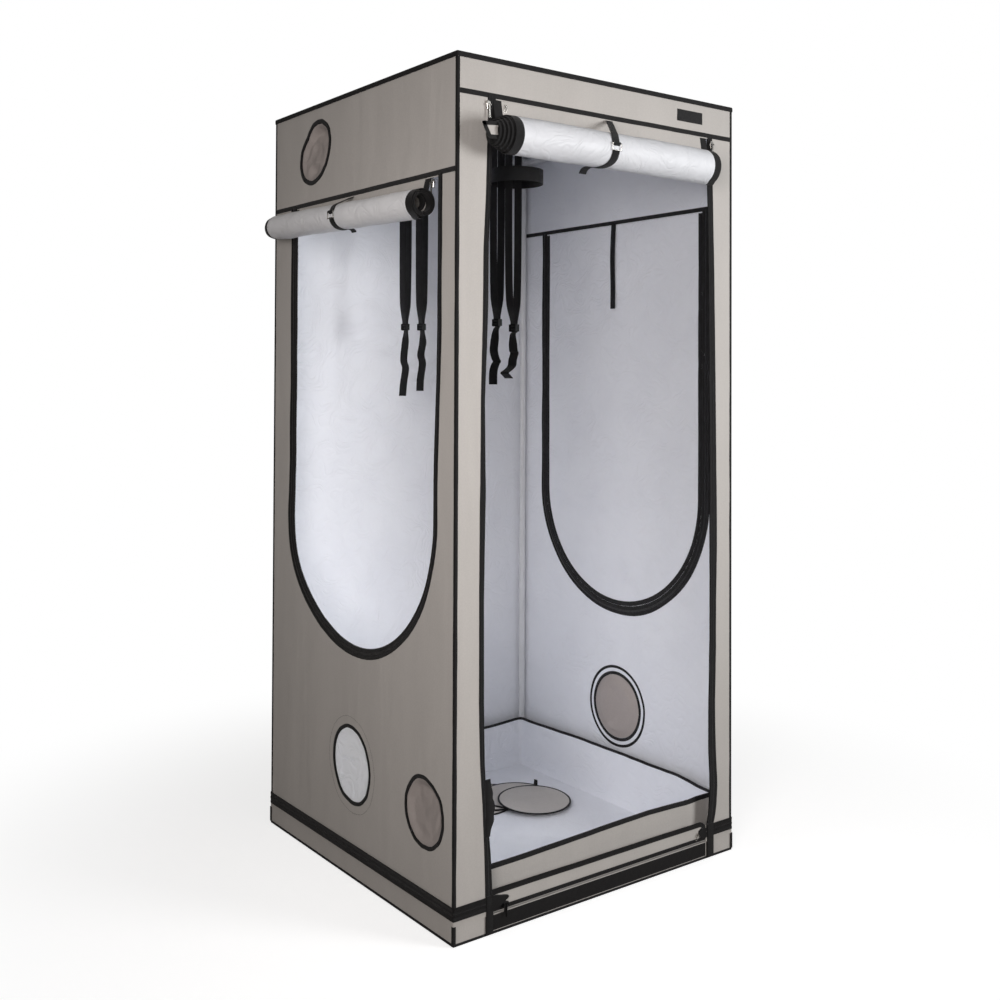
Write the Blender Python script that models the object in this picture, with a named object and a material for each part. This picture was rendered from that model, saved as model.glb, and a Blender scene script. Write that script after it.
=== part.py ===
"""Indoor grow tent.

A push-fit tube frame stands inside a zipped fabric cover. The front door and the left door are
rolled up and strapped under their seams, and the right door is closed. A spill tray with four
loose port covers lies inside, and webbing hangs from one of the two ceiling bars.

Metres, +Z up. The front faces -Y, and the origin is on the floor under the middle of the tent.
"""

from math import acos, atan2, cos, hypot, pi, radians, sin, tau

import bmesh
import bpy
from mathutils import Matrix, Vector
from mathutils.geometry import interpolate_bezier

# Cover
TENT_WIDTH = 1.0
TENT_DEPTH = 1.0
TENT_HEIGHT = 2.2
CLOTH = 0.002
GAP = 0.0003
PIPING = 0.0015
PIPING_WIDTH = 0.009
HEM = 0.002
ROOF_HEM_DROP = 0.018
ROOF_EDGE = 0.0015
SEAM_WIDTH = 0.014
SEAM_PROUD = 0.001
SEAM_ABOVE_OPENING = 0.001
STRIP_PROUD = 0.0012
OVERRUN = 0.02

# Base tub under the cover
SKIRT_HEIGHT = 0.052
LEDGE = 0.004
FLAP_HEIGHT = 0.044
FLOOR_BEAD = 0.0023
FLOOR_BEAD_HEIGHT = 0.009
SKIRT_BAND_LOW = 0.012
SKIRT_BAND_HIGH = 0.042

# Front doorway
FRONT_COLUMN = 0.11
FRONT_HEADER = 0.1
FRONT_OPENING_LOW = 0.104
FRONT_CORNER_RADIUS = 0.03
FRONT_CORNER_STEPS = 5
FRONT_STRIP_WIDTH = 0.035
SILL_BINDING = 0.009
SILL_ZIP_LOW = 0.056
SILL_ZIP_HEIGHT = 0.02

# Side doorways, each with a half-round foot
ARCH_COLUMN = 0.125
ARCH_CENTRE_Y = -0.01
ARCH_CENTRE_Z = 1.02
ARCH_HEADER = 0.295
ARCH_STRIP_WIDTH = 0.03
ARCH_STEPS = 24

# Duct ports
MAIN_PORT_RADIUS = 0.103
MAIN_PORT_Y = -0.005
MAIN_PORT_Z = 0.311
SIDE_PORT_RADIUS = 0.0925
SIDE_PORT_INSET = 0.132
SIDE_PORT_Z = 0.289
HIGH_PORT_RADIUS = 0.083
HIGH_PORT_Y = 0.237
HIGH_PORT_BELOW_TOP = 0.136
PORT_BINDING = 0.006
PORT_FLANGE = 0.027
PORT_STEPS = 28
SLEEVE_CLOTH = 0.0014
SLEEVE_DEPTH = 0.011
SLEEVE_PLEAT = 0.0022
SLEEVE_PLEATS = 9
SLEEVE_RING_SHARES = (1.0, 0.9, 0.62, 0.34)
SLEEVE_DEPTH_SHARES = (0.0, 0.45, 0.78, 0.95)
SLEEVE_PLEAT_SHARES = (0.0, 0.7, 1.0, 0.8)

# Tube frame
TUBE_DIAMETER = 0.022
TUBE_WALL = 0.0012
TUBE_SIDES = 16
STUB_LENGTH = 0.045
STUB_PLAY = 0.0003
STUB_CHAMFER = 0.0015
CONNECTOR_EDGE = 0.006

# Ceiling bars with a hook at each end
BAR_X = 0.145
HOOK_THICKNESS = 0.0025
HOOK_WIDTH = 0.02
HOOK_START_DEG = -15
HOOK_SWEEP_DEG = 195
HOOK_STEPS = 12
HOOK_ROOM = 0.0042

# Webbing that hangs from the left bar
WEB_WIDTH = 0.025
WEB_THICKNESS = 0.0015
WEB_SPREAD = 0.0031
WEB_JOIN_BELOW_BAR = 0.31
STRAND_DROP_SHARES = (0.0, 0.35, 0.75, 1.0)
STRAND_SPREAD_SHARES = (1.0, 0.75, 0.2, 0.0)
STRAP_CURVE_STEPS = 3
WEB_END_BELOW_LOCK = 0.011
FRONT_STRAP_A_Y = -0.194
FRONT_STRAP_B_Y = -0.274
BACK_STRAP_A_Y = 0.2
BACK_STRAP_B_Y = 0.295
FRONT_LOCK_A_DROP = 0.627
FRONT_LOCK_B_DROP = 0.645
BACK_LOCK_A_DROP = 0.627
BACK_LOCK_B_DROP = 0.624
FRONT_TAIL_A = 0.187
FRONT_TAIL_B = 0.15
BACK_TAIL_A = 0.2
BACK_TAIL_B = 0.22
TAIL_KINK = 0.016
TAIL_DROP_SHARES = (0.18, 0.42, 0.63, 0.82, 1.0)
TAIL_KINK_SHARES = (0.25, 0.9, 0.1, 0.55, -0.3)
LOCK_HEIGHT = 0.02
LOCK_WALL = 0.0022
LOCK_PLAY = 0.0006
LOCK_BAR = 0.0034
LOCK_WINDOW = 0.0052

# Wide belt looped round the two front straps
BELT_RADIUS = 0.077
BELT_THICKNESS = 0.0016
BELT_WIDTH = 0.04
BELT_DROP = 0.215
BELT_SEAT_DEG = 117
BELT_STEP = 0.0022
BELT_START_DEG = 180
BELT_TURNS = 1.12
BELT_STEPS = 36

# Rolled doors
DOOR_CLOTH = 0.0016
ROLL_PITCH = 0.0042
ROLL_CORE = 0.0095
ROLL_STANDOFF = 0.018
ROLL_STEPS = 20
HANG_SHARES = (0.0, 0.22, 0.5, 0.75)
ROLL_SPREAD_TURNS = 0.3
FRONT_ROLL_RADIUS = 0.0495
FRONT_ROLL_DROP = 0.0995
FRONT_ROLL_INSET = 0.02
FRONT_ROLL_SHIFT = 0.018
FRONT_ROLL_SHIFT_TURNS = 4.4
LEFT_ROLL_RADIUS = 0.038
LEFT_ROLL_DROP = 0.0635
LEFT_ROLL_OVERHANG = 0.0675
LEFT_ROLL_CENTRE_Y = 0.0075
LEFT_ROLL_RISE_SHARE = 0.0265
LEFT_ROLL_SHIFT = 0.002
LEFT_ROLL_SHIFT_TURNS = 6

# Straps that hold the rolled doors
FRONT_STRAP_X = -0.073
LEFT_STRAP_Y = -0.03
STRAP_LIFT = 0.0006
STRAP_END_DEG = -112
STRAP_TAIL = 0.034
STRAP_TAIL_BENDS_DEG = (20, 34, 29)
STRAP_STEPS = 18
RING_WIDTH = 0.033
RING_HEIGHT = 0.021
RING_WIRE = 0.0026
RING_CHAMFER = 0.0009
RING_STANDOFF = 0.0006
KEEPER_WIDTH = 0.022
KEEPER_CLOTH = 0.0012

# Zip sliders and their pulls
SLIDER_WIDTH = 0.013
SLIDER_FOOT = 0.009
SLIDER_LENGTH = 0.022
SLIDER_DEPTH = 0.0055
SLIDER_EDGE = 0.0009
SLIDER_NOSE = 0.0104
SLIDER_SHOULDER = 0.0037
SLIDER_TOP_GAP = 0.006
EAR_THICKNESS = 0.0018
EAR_HEIGHT = 0.005
EAR_DEPTH = 0.0052
PIN_RADIUS = 0.001
PIN_STANDOFF = 0.0031
PULL_WIDTH = 0.005
PULL_NECK = 0.0036
PULL_NECK_LENGTH = 0.0039
PULL_THICKNESS = 0.0014
PULL_LENGTH = 0.033
PULL_FOOT = 0.0075
PULL_EYE = 0.0026
PULL_PLAY = 0.0003
SILL_SLIDER_INSET = 0.045
CORD_RADIUS = 0.0016
CORD_LENGTH = 0.03

# Strap that hangs inside the right door
TIE_WIDTH = 0.022
TIE_LENGTH = 0.286
TIE_Y = 0.012
TIE_SWAY = 0.004
TIE_DROP_SHARES = (0.4, 0.75, 1.0)
TIE_SWAY_SHARES = (1.0, 0.5, 1.0)
TIE_STEPS = 4

# Spill tray
TRAY_HEIGHT = 0.163
TRAY_PLAY = 0.0015
TRAY_BEAD = 0.0018
TRAY_BEAD_HEIGHT = 0.013

# Loose port covers
COVER_RADIUS = 0.12
COVER_RIM = 0.006
COVER_RIM_HEIGHT = 0.004
COVER_PLATE = 0.0016
COVER_STEPS = 32
COVER_TAB = 0.018
COVER_TAB_WIDTH = 0.01
COVER_LEAN_DEG = 2.1
COVER_A_X = 0.104
COVER_A_Y = 0.24
COVER_B_X = 0.168
COVER_B_Y = 0.242
COVER_C_X = 0.235
COVER_C_Y = 0.197
COVER_D_X = 0.2515
COVER_D_Y = 0.121
COVER_TAB_DEGS = (150, 100, 20, 49)

# Worked out from the sizes above
TUBE_RADIUS = TUBE_DIAMETER / 2
FRAME_INSET = CLOTH + HOOK_ROOM + HOOK_THICKNESS + GAP + TUBE_RADIUS
CONNECTOR_HALF = FRAME_INSET - CLOTH - GAP
FRAME_X = TENT_WIDTH / 2 - FRAME_INSET
FRAME_Y = TENT_DEPTH / 2 - FRAME_INSET
FRAME_LOW = FRAME_INSET
FRAME_HIGH = TENT_HEIGHT - FRAME_INSET
FRONT = -TENT_DEPTH / 2
LEFT = -TENT_WIDTH / 2
FRONT_OPENING_HALF = TENT_WIDTH / 2 - FRONT_COLUMN
FRONT_OPENING_HIGH = TENT_HEIGHT - FRONT_HEADER
ARCH_HALF = TENT_DEPTH / 2 - ARCH_COLUMN
ARCH_TOP = TENT_HEIGHT - ARCH_HEADER
SIDE_PORT_Y = FRONT + SIDE_PORT_INSET
HIGH_PORT_Z = TENT_HEIGHT - HIGH_PORT_BELOW_TOP
BELT_Z = FRAME_HIGH - BELT_DROP
FRONT_ROLL_Z = FRONT_OPENING_HIGH - FRONT_ROLL_DROP
FRONT_ROLL_HALF = FRONT_OPENING_HALF - FRONT_ROLL_INSET
LEFT_ROLL_Z = ARCH_TOP - LEFT_ROLL_DROP
LEFT_ROLL_HALF = ARCH_HALF + LEFT_ROLL_OVERHANG
SILL_SLIDER_X = SILL_SLIDER_INSET - FRONT_OPENING_HALF
WALL_LOW = SKIRT_HEIGHT + GAP
WALL_HIGH = TENT_HEIGHT - CLOTH - GAP
STRIP_FACE = STRIP_PROUD + GAP
WELD = 1e-6
SMOOTH_DEG = 40
SLEEVE_SMOOTH_DEG = 60
ROUND_STEPS = 10
BEZIER_HANDLE = 1 / 6

FINISHES = {
    "cover_cloth": ((0.52, 0.49, 0.46), 0.9, 0.0),
    "lining": ((0.82, 0.84, 0.9), 0.35, 0.0),
    "webbing": ((0.02, 0.02, 0.022), 0.8, 0.0),
    "coated_steel": ((0.85, 0.85, 0.86), 0.35, 0.2),
    "connector": ((0.8, 0.8, 0.81), 0.45, 0.0),
    "nickel": ((0.75, 0.74, 0.72), 0.25, 1.0),
    "buckle": ((0.025, 0.025, 0.028), 0.4, 0.0),
}


def clear_scene():
    """Remove whatever the open file holds."""
    for item in list(bpy.data.objects):
        bpy.data.objects.remove(item, do_unlink=True)


def finish_material(finish):
    """Return the material of a finish, made once."""
    material = bpy.data.materials.get(finish)
    if material is None:
        colour, roughness, metallic = FINISHES[finish]
        material = bpy.data.materials.new(finish)
        material.use_nodes = True
        shader = material.node_tree.nodes["Principled BSDF"]
        shader.inputs["Base Color"].default_value = (*colour, 1.0)
        shader.inputs["Roughness"].default_value = roughness
        shader.inputs["Metallic"].default_value = metallic
    return material


def add_piece(name, shape, finish, origin=(0.0, 0.0, 0.0), smooth_deg=SMOOTH_DEG):
    """Turn a shape in world space into a named object whose origin is where it turns or slides."""
    shape.transform(Matrix.Translation(-Vector(origin)))
    mesh = bpy.data.meshes.new(name)
    shape.to_mesh(mesh)
    shape.free()
    mesh.materials.append(finish_material(finish))
    mesh.shade_smooth()
    mesh.set_sharp_from_angle(angle=radians(smooth_deg))
    piece = bpy.data.objects.new(name, mesh)
    piece.location = origin
    bpy.context.scene.collection.objects.link(piece)
    return piece


def outward(shape):
    """Turn every face of a closed shape outwards."""
    bmesh.ops.recalc_face_normals(shape, faces=shape.faces)
    if shape.calc_volume(signed=True) < 0:
        bmesh.ops.reverse_faces(shape, faces=shape.faces)
    return shape


def helper_object(shape):
    """Wrap a shape in an object for a Boolean."""
    mesh = bpy.data.meshes.new("helper")
    shape.to_mesh(mesh)
    shape.free()
    helper = bpy.data.objects.new("helper", mesh)
    bpy.context.scene.collection.objects.link(helper)
    return helper


def combined(shape, tool, operation):
    """Return the union or the difference of two closed shapes as one closed shape."""
    base = helper_object(shape)
    other = helper_object(tool)
    modifier = base.modifiers.new("combine", "BOOLEAN")
    modifier.operation = operation
    modifier.solver = "EXACT"
    modifier.object = other
    result = bmesh.new()
    result.from_object(base, bpy.context.evaluated_depsgraph_get())
    for helper in (base, other):
        mesh = helper.data
        bpy.data.objects.remove(helper)
        bpy.data.meshes.remove(mesh)
    bmesh.ops.remove_doubles(result, verts=result.verts, dist=WELD)
    return result


def union(shape, *tools):
    """Join shapes that run into each other."""
    for tool in tools:
        shape = combined(shape, tool, "UNION")
    return shape


def cut(shape, *tools):
    """Cut shapes out of the first one."""
    for tool in tools:
        shape = combined(shape, tool, "DIFFERENCE")
    return shape


def box(low, high):
    """Box between two corners."""
    shape = bmesh.new()
    size = Vector(high) - Vector(low)
    centre = (Vector(high) + Vector(low)) / 2
    bmesh.ops.create_cube(shape, size=1.0, matrix=Matrix.LocRotScale(centre, None, size))
    return shape


def bevelled(shape, width, segments=1):
    """Round every edge of a shape."""
    bmesh.ops.bevel(shape, geom=shape.edges, offset=width, segments=segments, affect="EDGES")
    return shape


AXES_OF_PLANE = {"XY": (0, 1, 2), "YZ": (1, 2, 0), "XZ": (0, 2, 1)}


def prism(outline, plane, low, high):
    """Extrude a closed outline drawn in a plane between two levels of the third axis."""
    first, second, third = AXES_OF_PLANE[plane]
    shape = bmesh.new()
    corners = []
    for u, v in outline:
        place = [0.0, 0.0, 0.0]
        place[first], place[second], place[third] = u, v, low
        corners.append(shape.verts.new(place))
    face = shape.faces.new(corners)
    grown = bmesh.ops.extrude_face_region(shape, geom=[face])["geom"]
    step = Vector((0.0, 0.0, 0.0))
    step[third] = high - low
    moved = [item for item in grown if isinstance(item, bmesh.types.BMVert)]
    bmesh.ops.translate(shape, verts=moved, vec=step)
    return outward(shape)


def arc(centre_u, centre_v, radius, start_deg, end_deg, steps):
    """Points along a round stretch of an outline."""
    points = []
    for index in range(steps + 1):
        angle = radians(start_deg + (end_deg - start_deg) * index / steps)
        points.append((centre_u + radius * cos(angle), centre_v + radius * sin(angle)))
    return points


def circle(centre_u, centre_v, radius, steps):
    """Closed round outline."""
    return arc(centre_u, centre_v, radius, 0, 360, steps)[:-1]


def rectangle(low_u, low_v, high_u, high_v):
    """Closed four-cornered outline."""
    return [(low_u, low_v), (high_u, low_v), (high_u, high_v), (low_u, high_v)]


def placed(point, direction):
    """Matrix that carries local +Z at the origin to a direction at a point."""
    turn = Vector(direction).to_track_quat("Z", "Y").to_matrix().to_4x4()
    return Matrix.Translation(Vector(point)) @ turn


def turned(profile, steps, matrix, closed=True, sweep=tau):
    """Spin a profile of (radius, height) points about local Z, then place it."""
    shape = bmesh.new()
    points = [shape.verts.new((radius, 0.0, height)) for radius, height in profile]
    pairs = list(zip(points, points[1:]))
    if closed:
        pairs.append((points[-1], points[0]))
    edges = [shape.edges.new(pair) for pair in pairs]
    whole = sweep == tau
    if not whole:
        shape.faces.new(points)
    bmesh.ops.spin(
        shape,
        geom=points + edges + list(shape.faces),
        cent=(0.0, 0.0, 0.0),
        axis=(0.0, 0.0, 1.0),
        angle=sweep,
        steps=steps,
        use_merge=whole,
    )
    bmesh.ops.remove_doubles(shape, verts=shape.verts, dist=WELD)
    shape.transform(matrix)
    return outward(shape)


def rod(start, end, radius, steps, chamfer=0.0):
    """Solid round bar between two points, with its far end chamfered."""
    axis = Vector(end) - Vector(start)
    length = axis.length
    profile = [(0.0, 0.0), (radius, 0.0), (radius, length - chamfer)]
    if chamfer:
        profile.append((radius - chamfer, length))
    else:
        profile[-1] = (radius, length)
    profile.append((0.0, length))
    return turned(profile, steps, placed(start, axis), closed=False)


def tube(start, end):
    """Frame tube, open at both ends."""
    axis = Vector(end) - Vector(start)
    inner = TUBE_RADIUS - TUBE_WALL
    profile = [(inner, 0.0), (TUBE_RADIUS, 0.0), (TUBE_RADIUS, axis.length), (inner, axis.length)]
    return turned(profile, TUBE_SIDES, placed(start, axis))


def box_rings(rings):
    """Closed shape through nested rectangular rings of (outward offset, height)."""
    shape = bmesh.new()
    loops = []
    for offset, height in rings:
        half_x = TENT_WIDTH / 2 + offset
        half_y = TENT_DEPTH / 2 + offset
        corners = rectangle(-half_x, -half_y, half_x, half_y)
        loops.append([shape.verts.new((x, y, height)) for x, y in corners])
    for first, second in zip(loops, loops[1:]):
        for side in range(4):
            follow = (side + 1) % 4
            shape.faces.new((first[side], first[follow], second[follow], second[side]))
    shape.faces.new(loops[0])
    shape.faces.new(loops[-1])
    return outward(shape)


def smooth_path(points, steps):
    """Smooth curve through hand-set points in a plane, with so many steps between two of them."""
    knots = [Vector(point) for point in [points[0], *points, points[-1]]]
    path = []
    for before, start, end, after in zip(knots, knots[1:], knots[2:], knots[3:]):
        leave = start + (end - before) * BEZIER_HANDLE
        arrive = end - (after - start) * BEZIER_HANDLE
        stretch = interpolate_bezier(start, leave, arrive, end, steps + 1)
        path += [tuple(point) for point in stretch[:-1]]
    path.append(tuple(points[-1]))
    return path


def ribbon(path, edges, thickness, place):
    """Closed band with its middle line in a plane and its width along the third axis."""
    shape = bmesh.new()
    rows = []
    for index, (u, v) in enumerate(path):
        before = path[max(index - 1, 0)]
        after = path[min(index + 1, len(path) - 1)]
        run, rise = after[0] - before[0], after[1] - before[1]
        reach = thickness / 2 / hypot(run, rise)
        off_u, off_v = -rise * reach, run * reach
        low, high = edges[index]
        corners = (
            (u + off_u, v + off_v, low),
            (u + off_u, v + off_v, high),
            (u - off_u, v - off_v, high),
            (u - off_u, v - off_v, low),
        )
        rows.append([shape.verts.new(place(*corner)) for corner in corners])
    for first, second in zip(rows, rows[1:]):
        for side in range(4):
            follow = (side + 1) % 4
            shape.faces.new((first[side], first[follow], second[follow], second[side]))
    shape.faces.new(rows[0])
    shape.faces.new(rows[-1])
    return outward(shape)


def on_front(out, up, along):
    """Point given by its distance out of the front wall, its height and its X."""
    return (along, FRONT - out, up)


def on_left(out, up, along):
    """Point given by its distance out of the left wall, its height and its Y."""
    return (LEFT - out, along, up)


def mirrored_x(shape):
    """Mirror a shape to the other side of the tent."""
    shape.transform(Matrix.Scale(-1, 4, (1, 0, 0)))
    return outward(shape)


def corner_name(side_x, side_y):
    """Name of a tent corner, such as front_left."""
    return ("front" if side_y < 0 else "back") + "_" + ("left" if side_x < 0 else "right")


def make_posts():
    """Four upright tubes between the corner connectors."""
    low = FRAME_LOW + CONNECTOR_HALF + GAP
    high = FRAME_HIGH - CONNECTOR_HALF - GAP
    for side_x in (-1, 1):
        for side_y in (-1, 1):
            x, y = side_x * FRAME_X, side_y * FRAME_Y
            post = tube((x, y, low), (x, y, high))
            add_piece("post_" + corner_name(side_x, side_y), post, "coated_steel")


def make_rails():
    """Four bottom rails and four top rails."""
    reach_x = FRAME_X - CONNECTOR_HALF - GAP
    reach_y = FRAME_Y - CONNECTOR_HALF - GAP
    for level, z in (("bottom", FRAME_LOW), ("top", FRAME_HIGH)):
        for side, y in (("front", -FRAME_Y), ("back", FRAME_Y)):
            rail = tube((-reach_x, y, z), (reach_x, y, z))
            add_piece(f"{level}_rail_{side}", rail, "coated_steel")
        for side, x in (("left", -FRAME_X), ("right", FRAME_X)):
            rail = tube((x, -reach_y, z), (x, reach_y, z))
            add_piece(f"{level}_rail_{side}", rail, "coated_steel")


def connector(centre, inward):
    """Moulded corner block with three stubs that push into the tubes."""
    half = Vector((CONNECTOR_HALF, CONNECTOR_HALF, CONNECTOR_HALF))
    shape = bevelled(box(Vector(centre) - half, Vector(centre) + half), CONNECTOR_EDGE, segments=2)
    radius = TUBE_RADIUS - TUBE_WALL - STUB_PLAY
    reach = CONNECTOR_HALF + STUB_LENGTH
    for axis in range(3):
        direction = Vector((0.0, 0.0, 0.0))
        direction[axis] = inward[axis]
        stub = rod(centre, Vector(centre) + direction * reach, radius, TUBE_SIDES, STUB_CHAMFER)
        shape = union(shape, stub)
    return shape


def make_connectors():
    """Eight three-way corner connectors."""
    for side_z, level, z in ((-1, "bottom", FRAME_LOW), (1, "top", FRAME_HIGH)):
        for side_x in (-1, 1):
            for side_y in (-1, 1):
                centre = (side_x * FRAME_X, side_y * FRAME_Y, z)
                shape = connector(centre, (-side_x, -side_y, -side_z))
                name = f"connector_{level}_{corner_name(side_x, side_y)}"
                add_piece(name, shape, "connector")


def ceiling_bar(x):
    """Round bar from front to back with a hook over each top rail."""
    inner = TUBE_RADIUS + GAP
    outer = inner + HOOK_THICKNESS
    reach = FRAME_Y - inner - HOOK_THICKNESS / 2
    shape = rod((x, -reach, FRAME_HIGH), (x, reach, FRAME_HIGH), TUBE_RADIUS, TUBE_SIDES)
    half = HOOK_WIDTH / 2
    profile = rectangle(inner, -half, outer, half)
    for side in (-1, 1):
        # Local X points at the middle of the tent, and the sweep runs from there over the rail.
        axes = Matrix(((0, 0, -side), (-side, 0, 0), (0, 1, 0))).to_4x4()
        start = Matrix.Rotation(radians(HOOK_START_DEG), 4, "Z")
        frame = Matrix.Translation((x, side * FRAME_Y, FRAME_HIGH)) @ axes @ start
        hook = turned(profile, HOOK_STEPS, frame, sweep=radians(HOOK_SWEEP_DEG))
        shape = union(shape, hook)
    return shape


def make_ceiling_bars():
    """Two bars that slide along the front and back top rails."""
    for name, x in (("ceiling_bar_left", -BAR_X), ("ceiling_bar_right", BAR_X)):
        add_piece(name, ceiling_bar(x), "coated_steel", origin=(x, 0.0, FRAME_HIGH))


def make_base_tub():
    """Ground sheet with its skirt, and the flap that covers the zip of the walls."""
    flap_inner = PIPING + GAP
    flap_outer = flap_inner + HEM
    flap_high = SKIRT_HEIGHT + FLAP_HEIGHT
    ledge_low = SKIRT_HEIGHT - LEDGE
    rings = [
        (-CLOTH, CLOTH),
        (-CLOTH, SKIRT_HEIGHT),
        (flap_inner, SKIRT_HEIGHT),
        (flap_inner, flap_high),
        (flap_outer, flap_high),
        (flap_outer, ledge_low),
        (0.0, ledge_low),
        (0.0, FLOOR_BEAD_HEIGHT),
        (FLOOR_BEAD, FLOOR_BEAD_HEIGHT),
        (FLOOR_BEAD, 0.0),
    ]
    shape = box_rings(rings)
    half = FRONT_OPENING_HALF
    low = (-half, FRONT - flap_outer - OVERRUN, SKIRT_HEIGHT - LEDGE / 2)
    high = (half, FRONT - GAP, flap_high + OVERRUN)
    shape = cut(shape, box(low, high))
    band_low = (-half, FRONT - STRIP_PROUD, SKIRT_BAND_LOW)
    band = box(band_low, (half, FRONT + CLOTH / 2, SKIRT_BAND_HIGH))
    add_piece("base_tub", union(shape, band), "cover_cloth")


def make_roof():
    """Roof sheet with a hem folded down over the tops of the walls."""
    hem_inner = PIPING + GAP
    hem_outer = hem_inner + HEM
    rings = [
        (-CLOTH, TENT_HEIGHT - CLOTH),
        (hem_inner, TENT_HEIGHT - CLOTH),
        (hem_inner, TENT_HEIGHT - ROOF_HEM_DROP),
        (hem_outer, TENT_HEIGHT - ROOF_HEM_DROP),
        (hem_outer, TENT_HEIGHT - ROOF_EDGE),
        (hem_outer - ROOF_EDGE, TENT_HEIGHT),
    ]
    add_piece("roof_panel", box_rings(rings), "cover_cloth")


def end_wall():
    """Front wall blank: a sheet whose sides are piped round the corners of the tent."""
    half = TENT_WIDTH / 2
    outer = half + PIPING
    back = FRONT + PIPING_WIDTH
    outline = [
        (-half + PIPING_WIDTH, FRONT),
        (-half + PIPING_WIDTH, FRONT - PIPING),
        (-outer, FRONT - PIPING),
        (-outer, back),
        (-half - GAP, back),
        (-half - GAP, FRONT + CLOTH),
    ]
    outline += [(-x, y) for x, y in reversed(outline)]
    return prism(outline, "XY", WALL_LOW, WALL_HIGH)


def front_opening():
    """Outline of the front doorway, with rounded lower corners."""
    half, radius = FRONT_OPENING_HALF, FRONT_CORNER_RADIUS
    low = FRONT_OPENING_LOW + radius
    outline = arc(-half + radius, low, radius, 180, 270, FRONT_CORNER_STEPS)
    outline += arc(half - radius, low, radius, 270, 360, FRONT_CORNER_STEPS)
    return outline + [(half, FRONT_OPENING_HIGH), (-half, FRONT_OPENING_HIGH)]


def make_front_wall():
    """Header, two columns and a sill round the front doorway."""
    half = FRONT_OPENING_HALF
    outer = half + FRONT_STRIP_WIDTH
    face = FRONT - STRIP_PROUD
    inside = FRONT + CLOTH / 2
    seam_low = FRONT_OPENING_HIGH + SEAM_ABOVE_OPENING
    seam_high = seam_low + SEAM_WIDTH
    edge = TENT_WIDTH / 2 - PIPING_WIDTH / 2
    shape = end_wall()
    seam = box((-edge, FRONT - SEAM_PROUD, seam_low), (edge, inside, seam_high))
    strip_low = WALL_LOW + GAP
    strip_high = seam_low + SEAM_WIDTH / 2
    left_strip = box((-outer, face, strip_low), (GAP - half, inside, strip_high))
    right_strip = box((half - GAP, face, strip_low), (outer, inside, strip_high))
    zip_low = SILL_ZIP_LOW
    sill_zip = box((-half, FRONT - SEAM_PROUD, zip_low), (half, inside, zip_low + SILL_ZIP_HEIGHT))
    binding_low = FRONT_OPENING_LOW - SILL_BINDING
    binding_high = FRONT_OPENING_LOW + FRONT_CORNER_RADIUS
    binding = box((-half, FRONT - SEAM_PROUD, binding_low), (half, inside, binding_high))
    shape = union(shape, seam, left_strip, right_strip, sill_zip, binding)
    doorway = prism(front_opening(), "XZ", FRONT - OVERRUN, FRONT + OVERRUN)
    add_piece("front_wall", cut(shape, doorway), "cover_cloth")


def make_back_wall():
    """Plain back wall with the same piping and a seam across it."""
    shape = end_wall()
    edge = TENT_WIDTH / 2 - PIPING_WIDTH / 2
    low = ARCH_TOP + SEAM_ABOVE_OPENING
    seam = box((-edge, FRONT - SEAM_PROUD, low), (edge, FRONT + CLOTH / 2, low + SEAM_WIDTH))
    shape = union(shape, seam)
    shape.transform(Matrix.Scale(-1, 4, (0, 1, 0)))
    add_piece("back_wall", outward(shape), "cover_cloth")


def arch_outline(half, top):
    """Outline of a side doorway: straight sides on a half-round foot."""
    foot = arc(ARCH_CENTRE_Y, ARCH_CENTRE_Z, half, 180, 360, ARCH_STEPS)
    return foot + [(ARCH_CENTRE_Y + half, top), (ARCH_CENTRE_Y - half, top)]


def side_wall(ports):
    """Left wall with a doorway and round ports of (Y, Z, radius), each bound and flanged."""
    reach = TENT_DEPTH / 2 - CLOTH - GAP
    outer, inner = LEFT, LEFT + CLOTH
    shape = prism(rectangle(-reach, WALL_LOW, reach, WALL_HIGH), "YZ", outer, inner)
    seam_low = ARCH_TOP + SEAM_ABOVE_OPENING
    edge = reach - PIPING_WIDTH
    band = rectangle(-edge, seam_low, edge, seam_low + SEAM_WIDTH)
    seam = prism(band, "YZ", outer - SEAM_PROUD, inner + SEAM_PROUD)
    strip = arch_outline(ARCH_HALF + ARCH_STRIP_WIDTH, seam_low + SEAM_WIDTH / 2)
    shape = union(shape, seam, prism(strip, "YZ", outer - STRIP_PROUD, inner + STRIP_PROUD))
    for y, z, radius in ports:
        binding = circle(y, z, radius + PORT_BINDING, PORT_STEPS)
        flange = circle(y, z, radius + PORT_FLANGE, PORT_STEPS)
        hole = circle(y, z, radius, PORT_STEPS)
        shape = union(shape, prism(flange, "YZ", outer + CLOTH / 2, inner + SEAM_PROUD))
        shape = union(shape, prism(binding, "YZ", outer - STRIP_PROUD, inner + STRIP_PROUD))
        shape = cut(shape, prism(hole, "YZ", outer - OVERRUN, inner + OVERRUN))
    doorway = arch_outline(ARCH_HALF, ARCH_TOP)
    return cut(shape, prism(doorway, "YZ", outer - OVERRUN, inner + OVERRUN))


def make_side_walls():
    """Left wall with three ports and right wall with one."""
    main = (MAIN_PORT_Y, MAIN_PORT_Z, MAIN_PORT_RADIUS)
    side = (SIDE_PORT_Y, SIDE_PORT_Z, SIDE_PORT_RADIUS)
    high = (HIGH_PORT_Y, HIGH_PORT_Z, HIGH_PORT_RADIUS)
    add_piece("left_wall", side_wall((main, side, high)), "cover_cloth")
    add_piece("right_wall", mirrored_x(side_wall((main,))), "cover_cloth")


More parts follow.
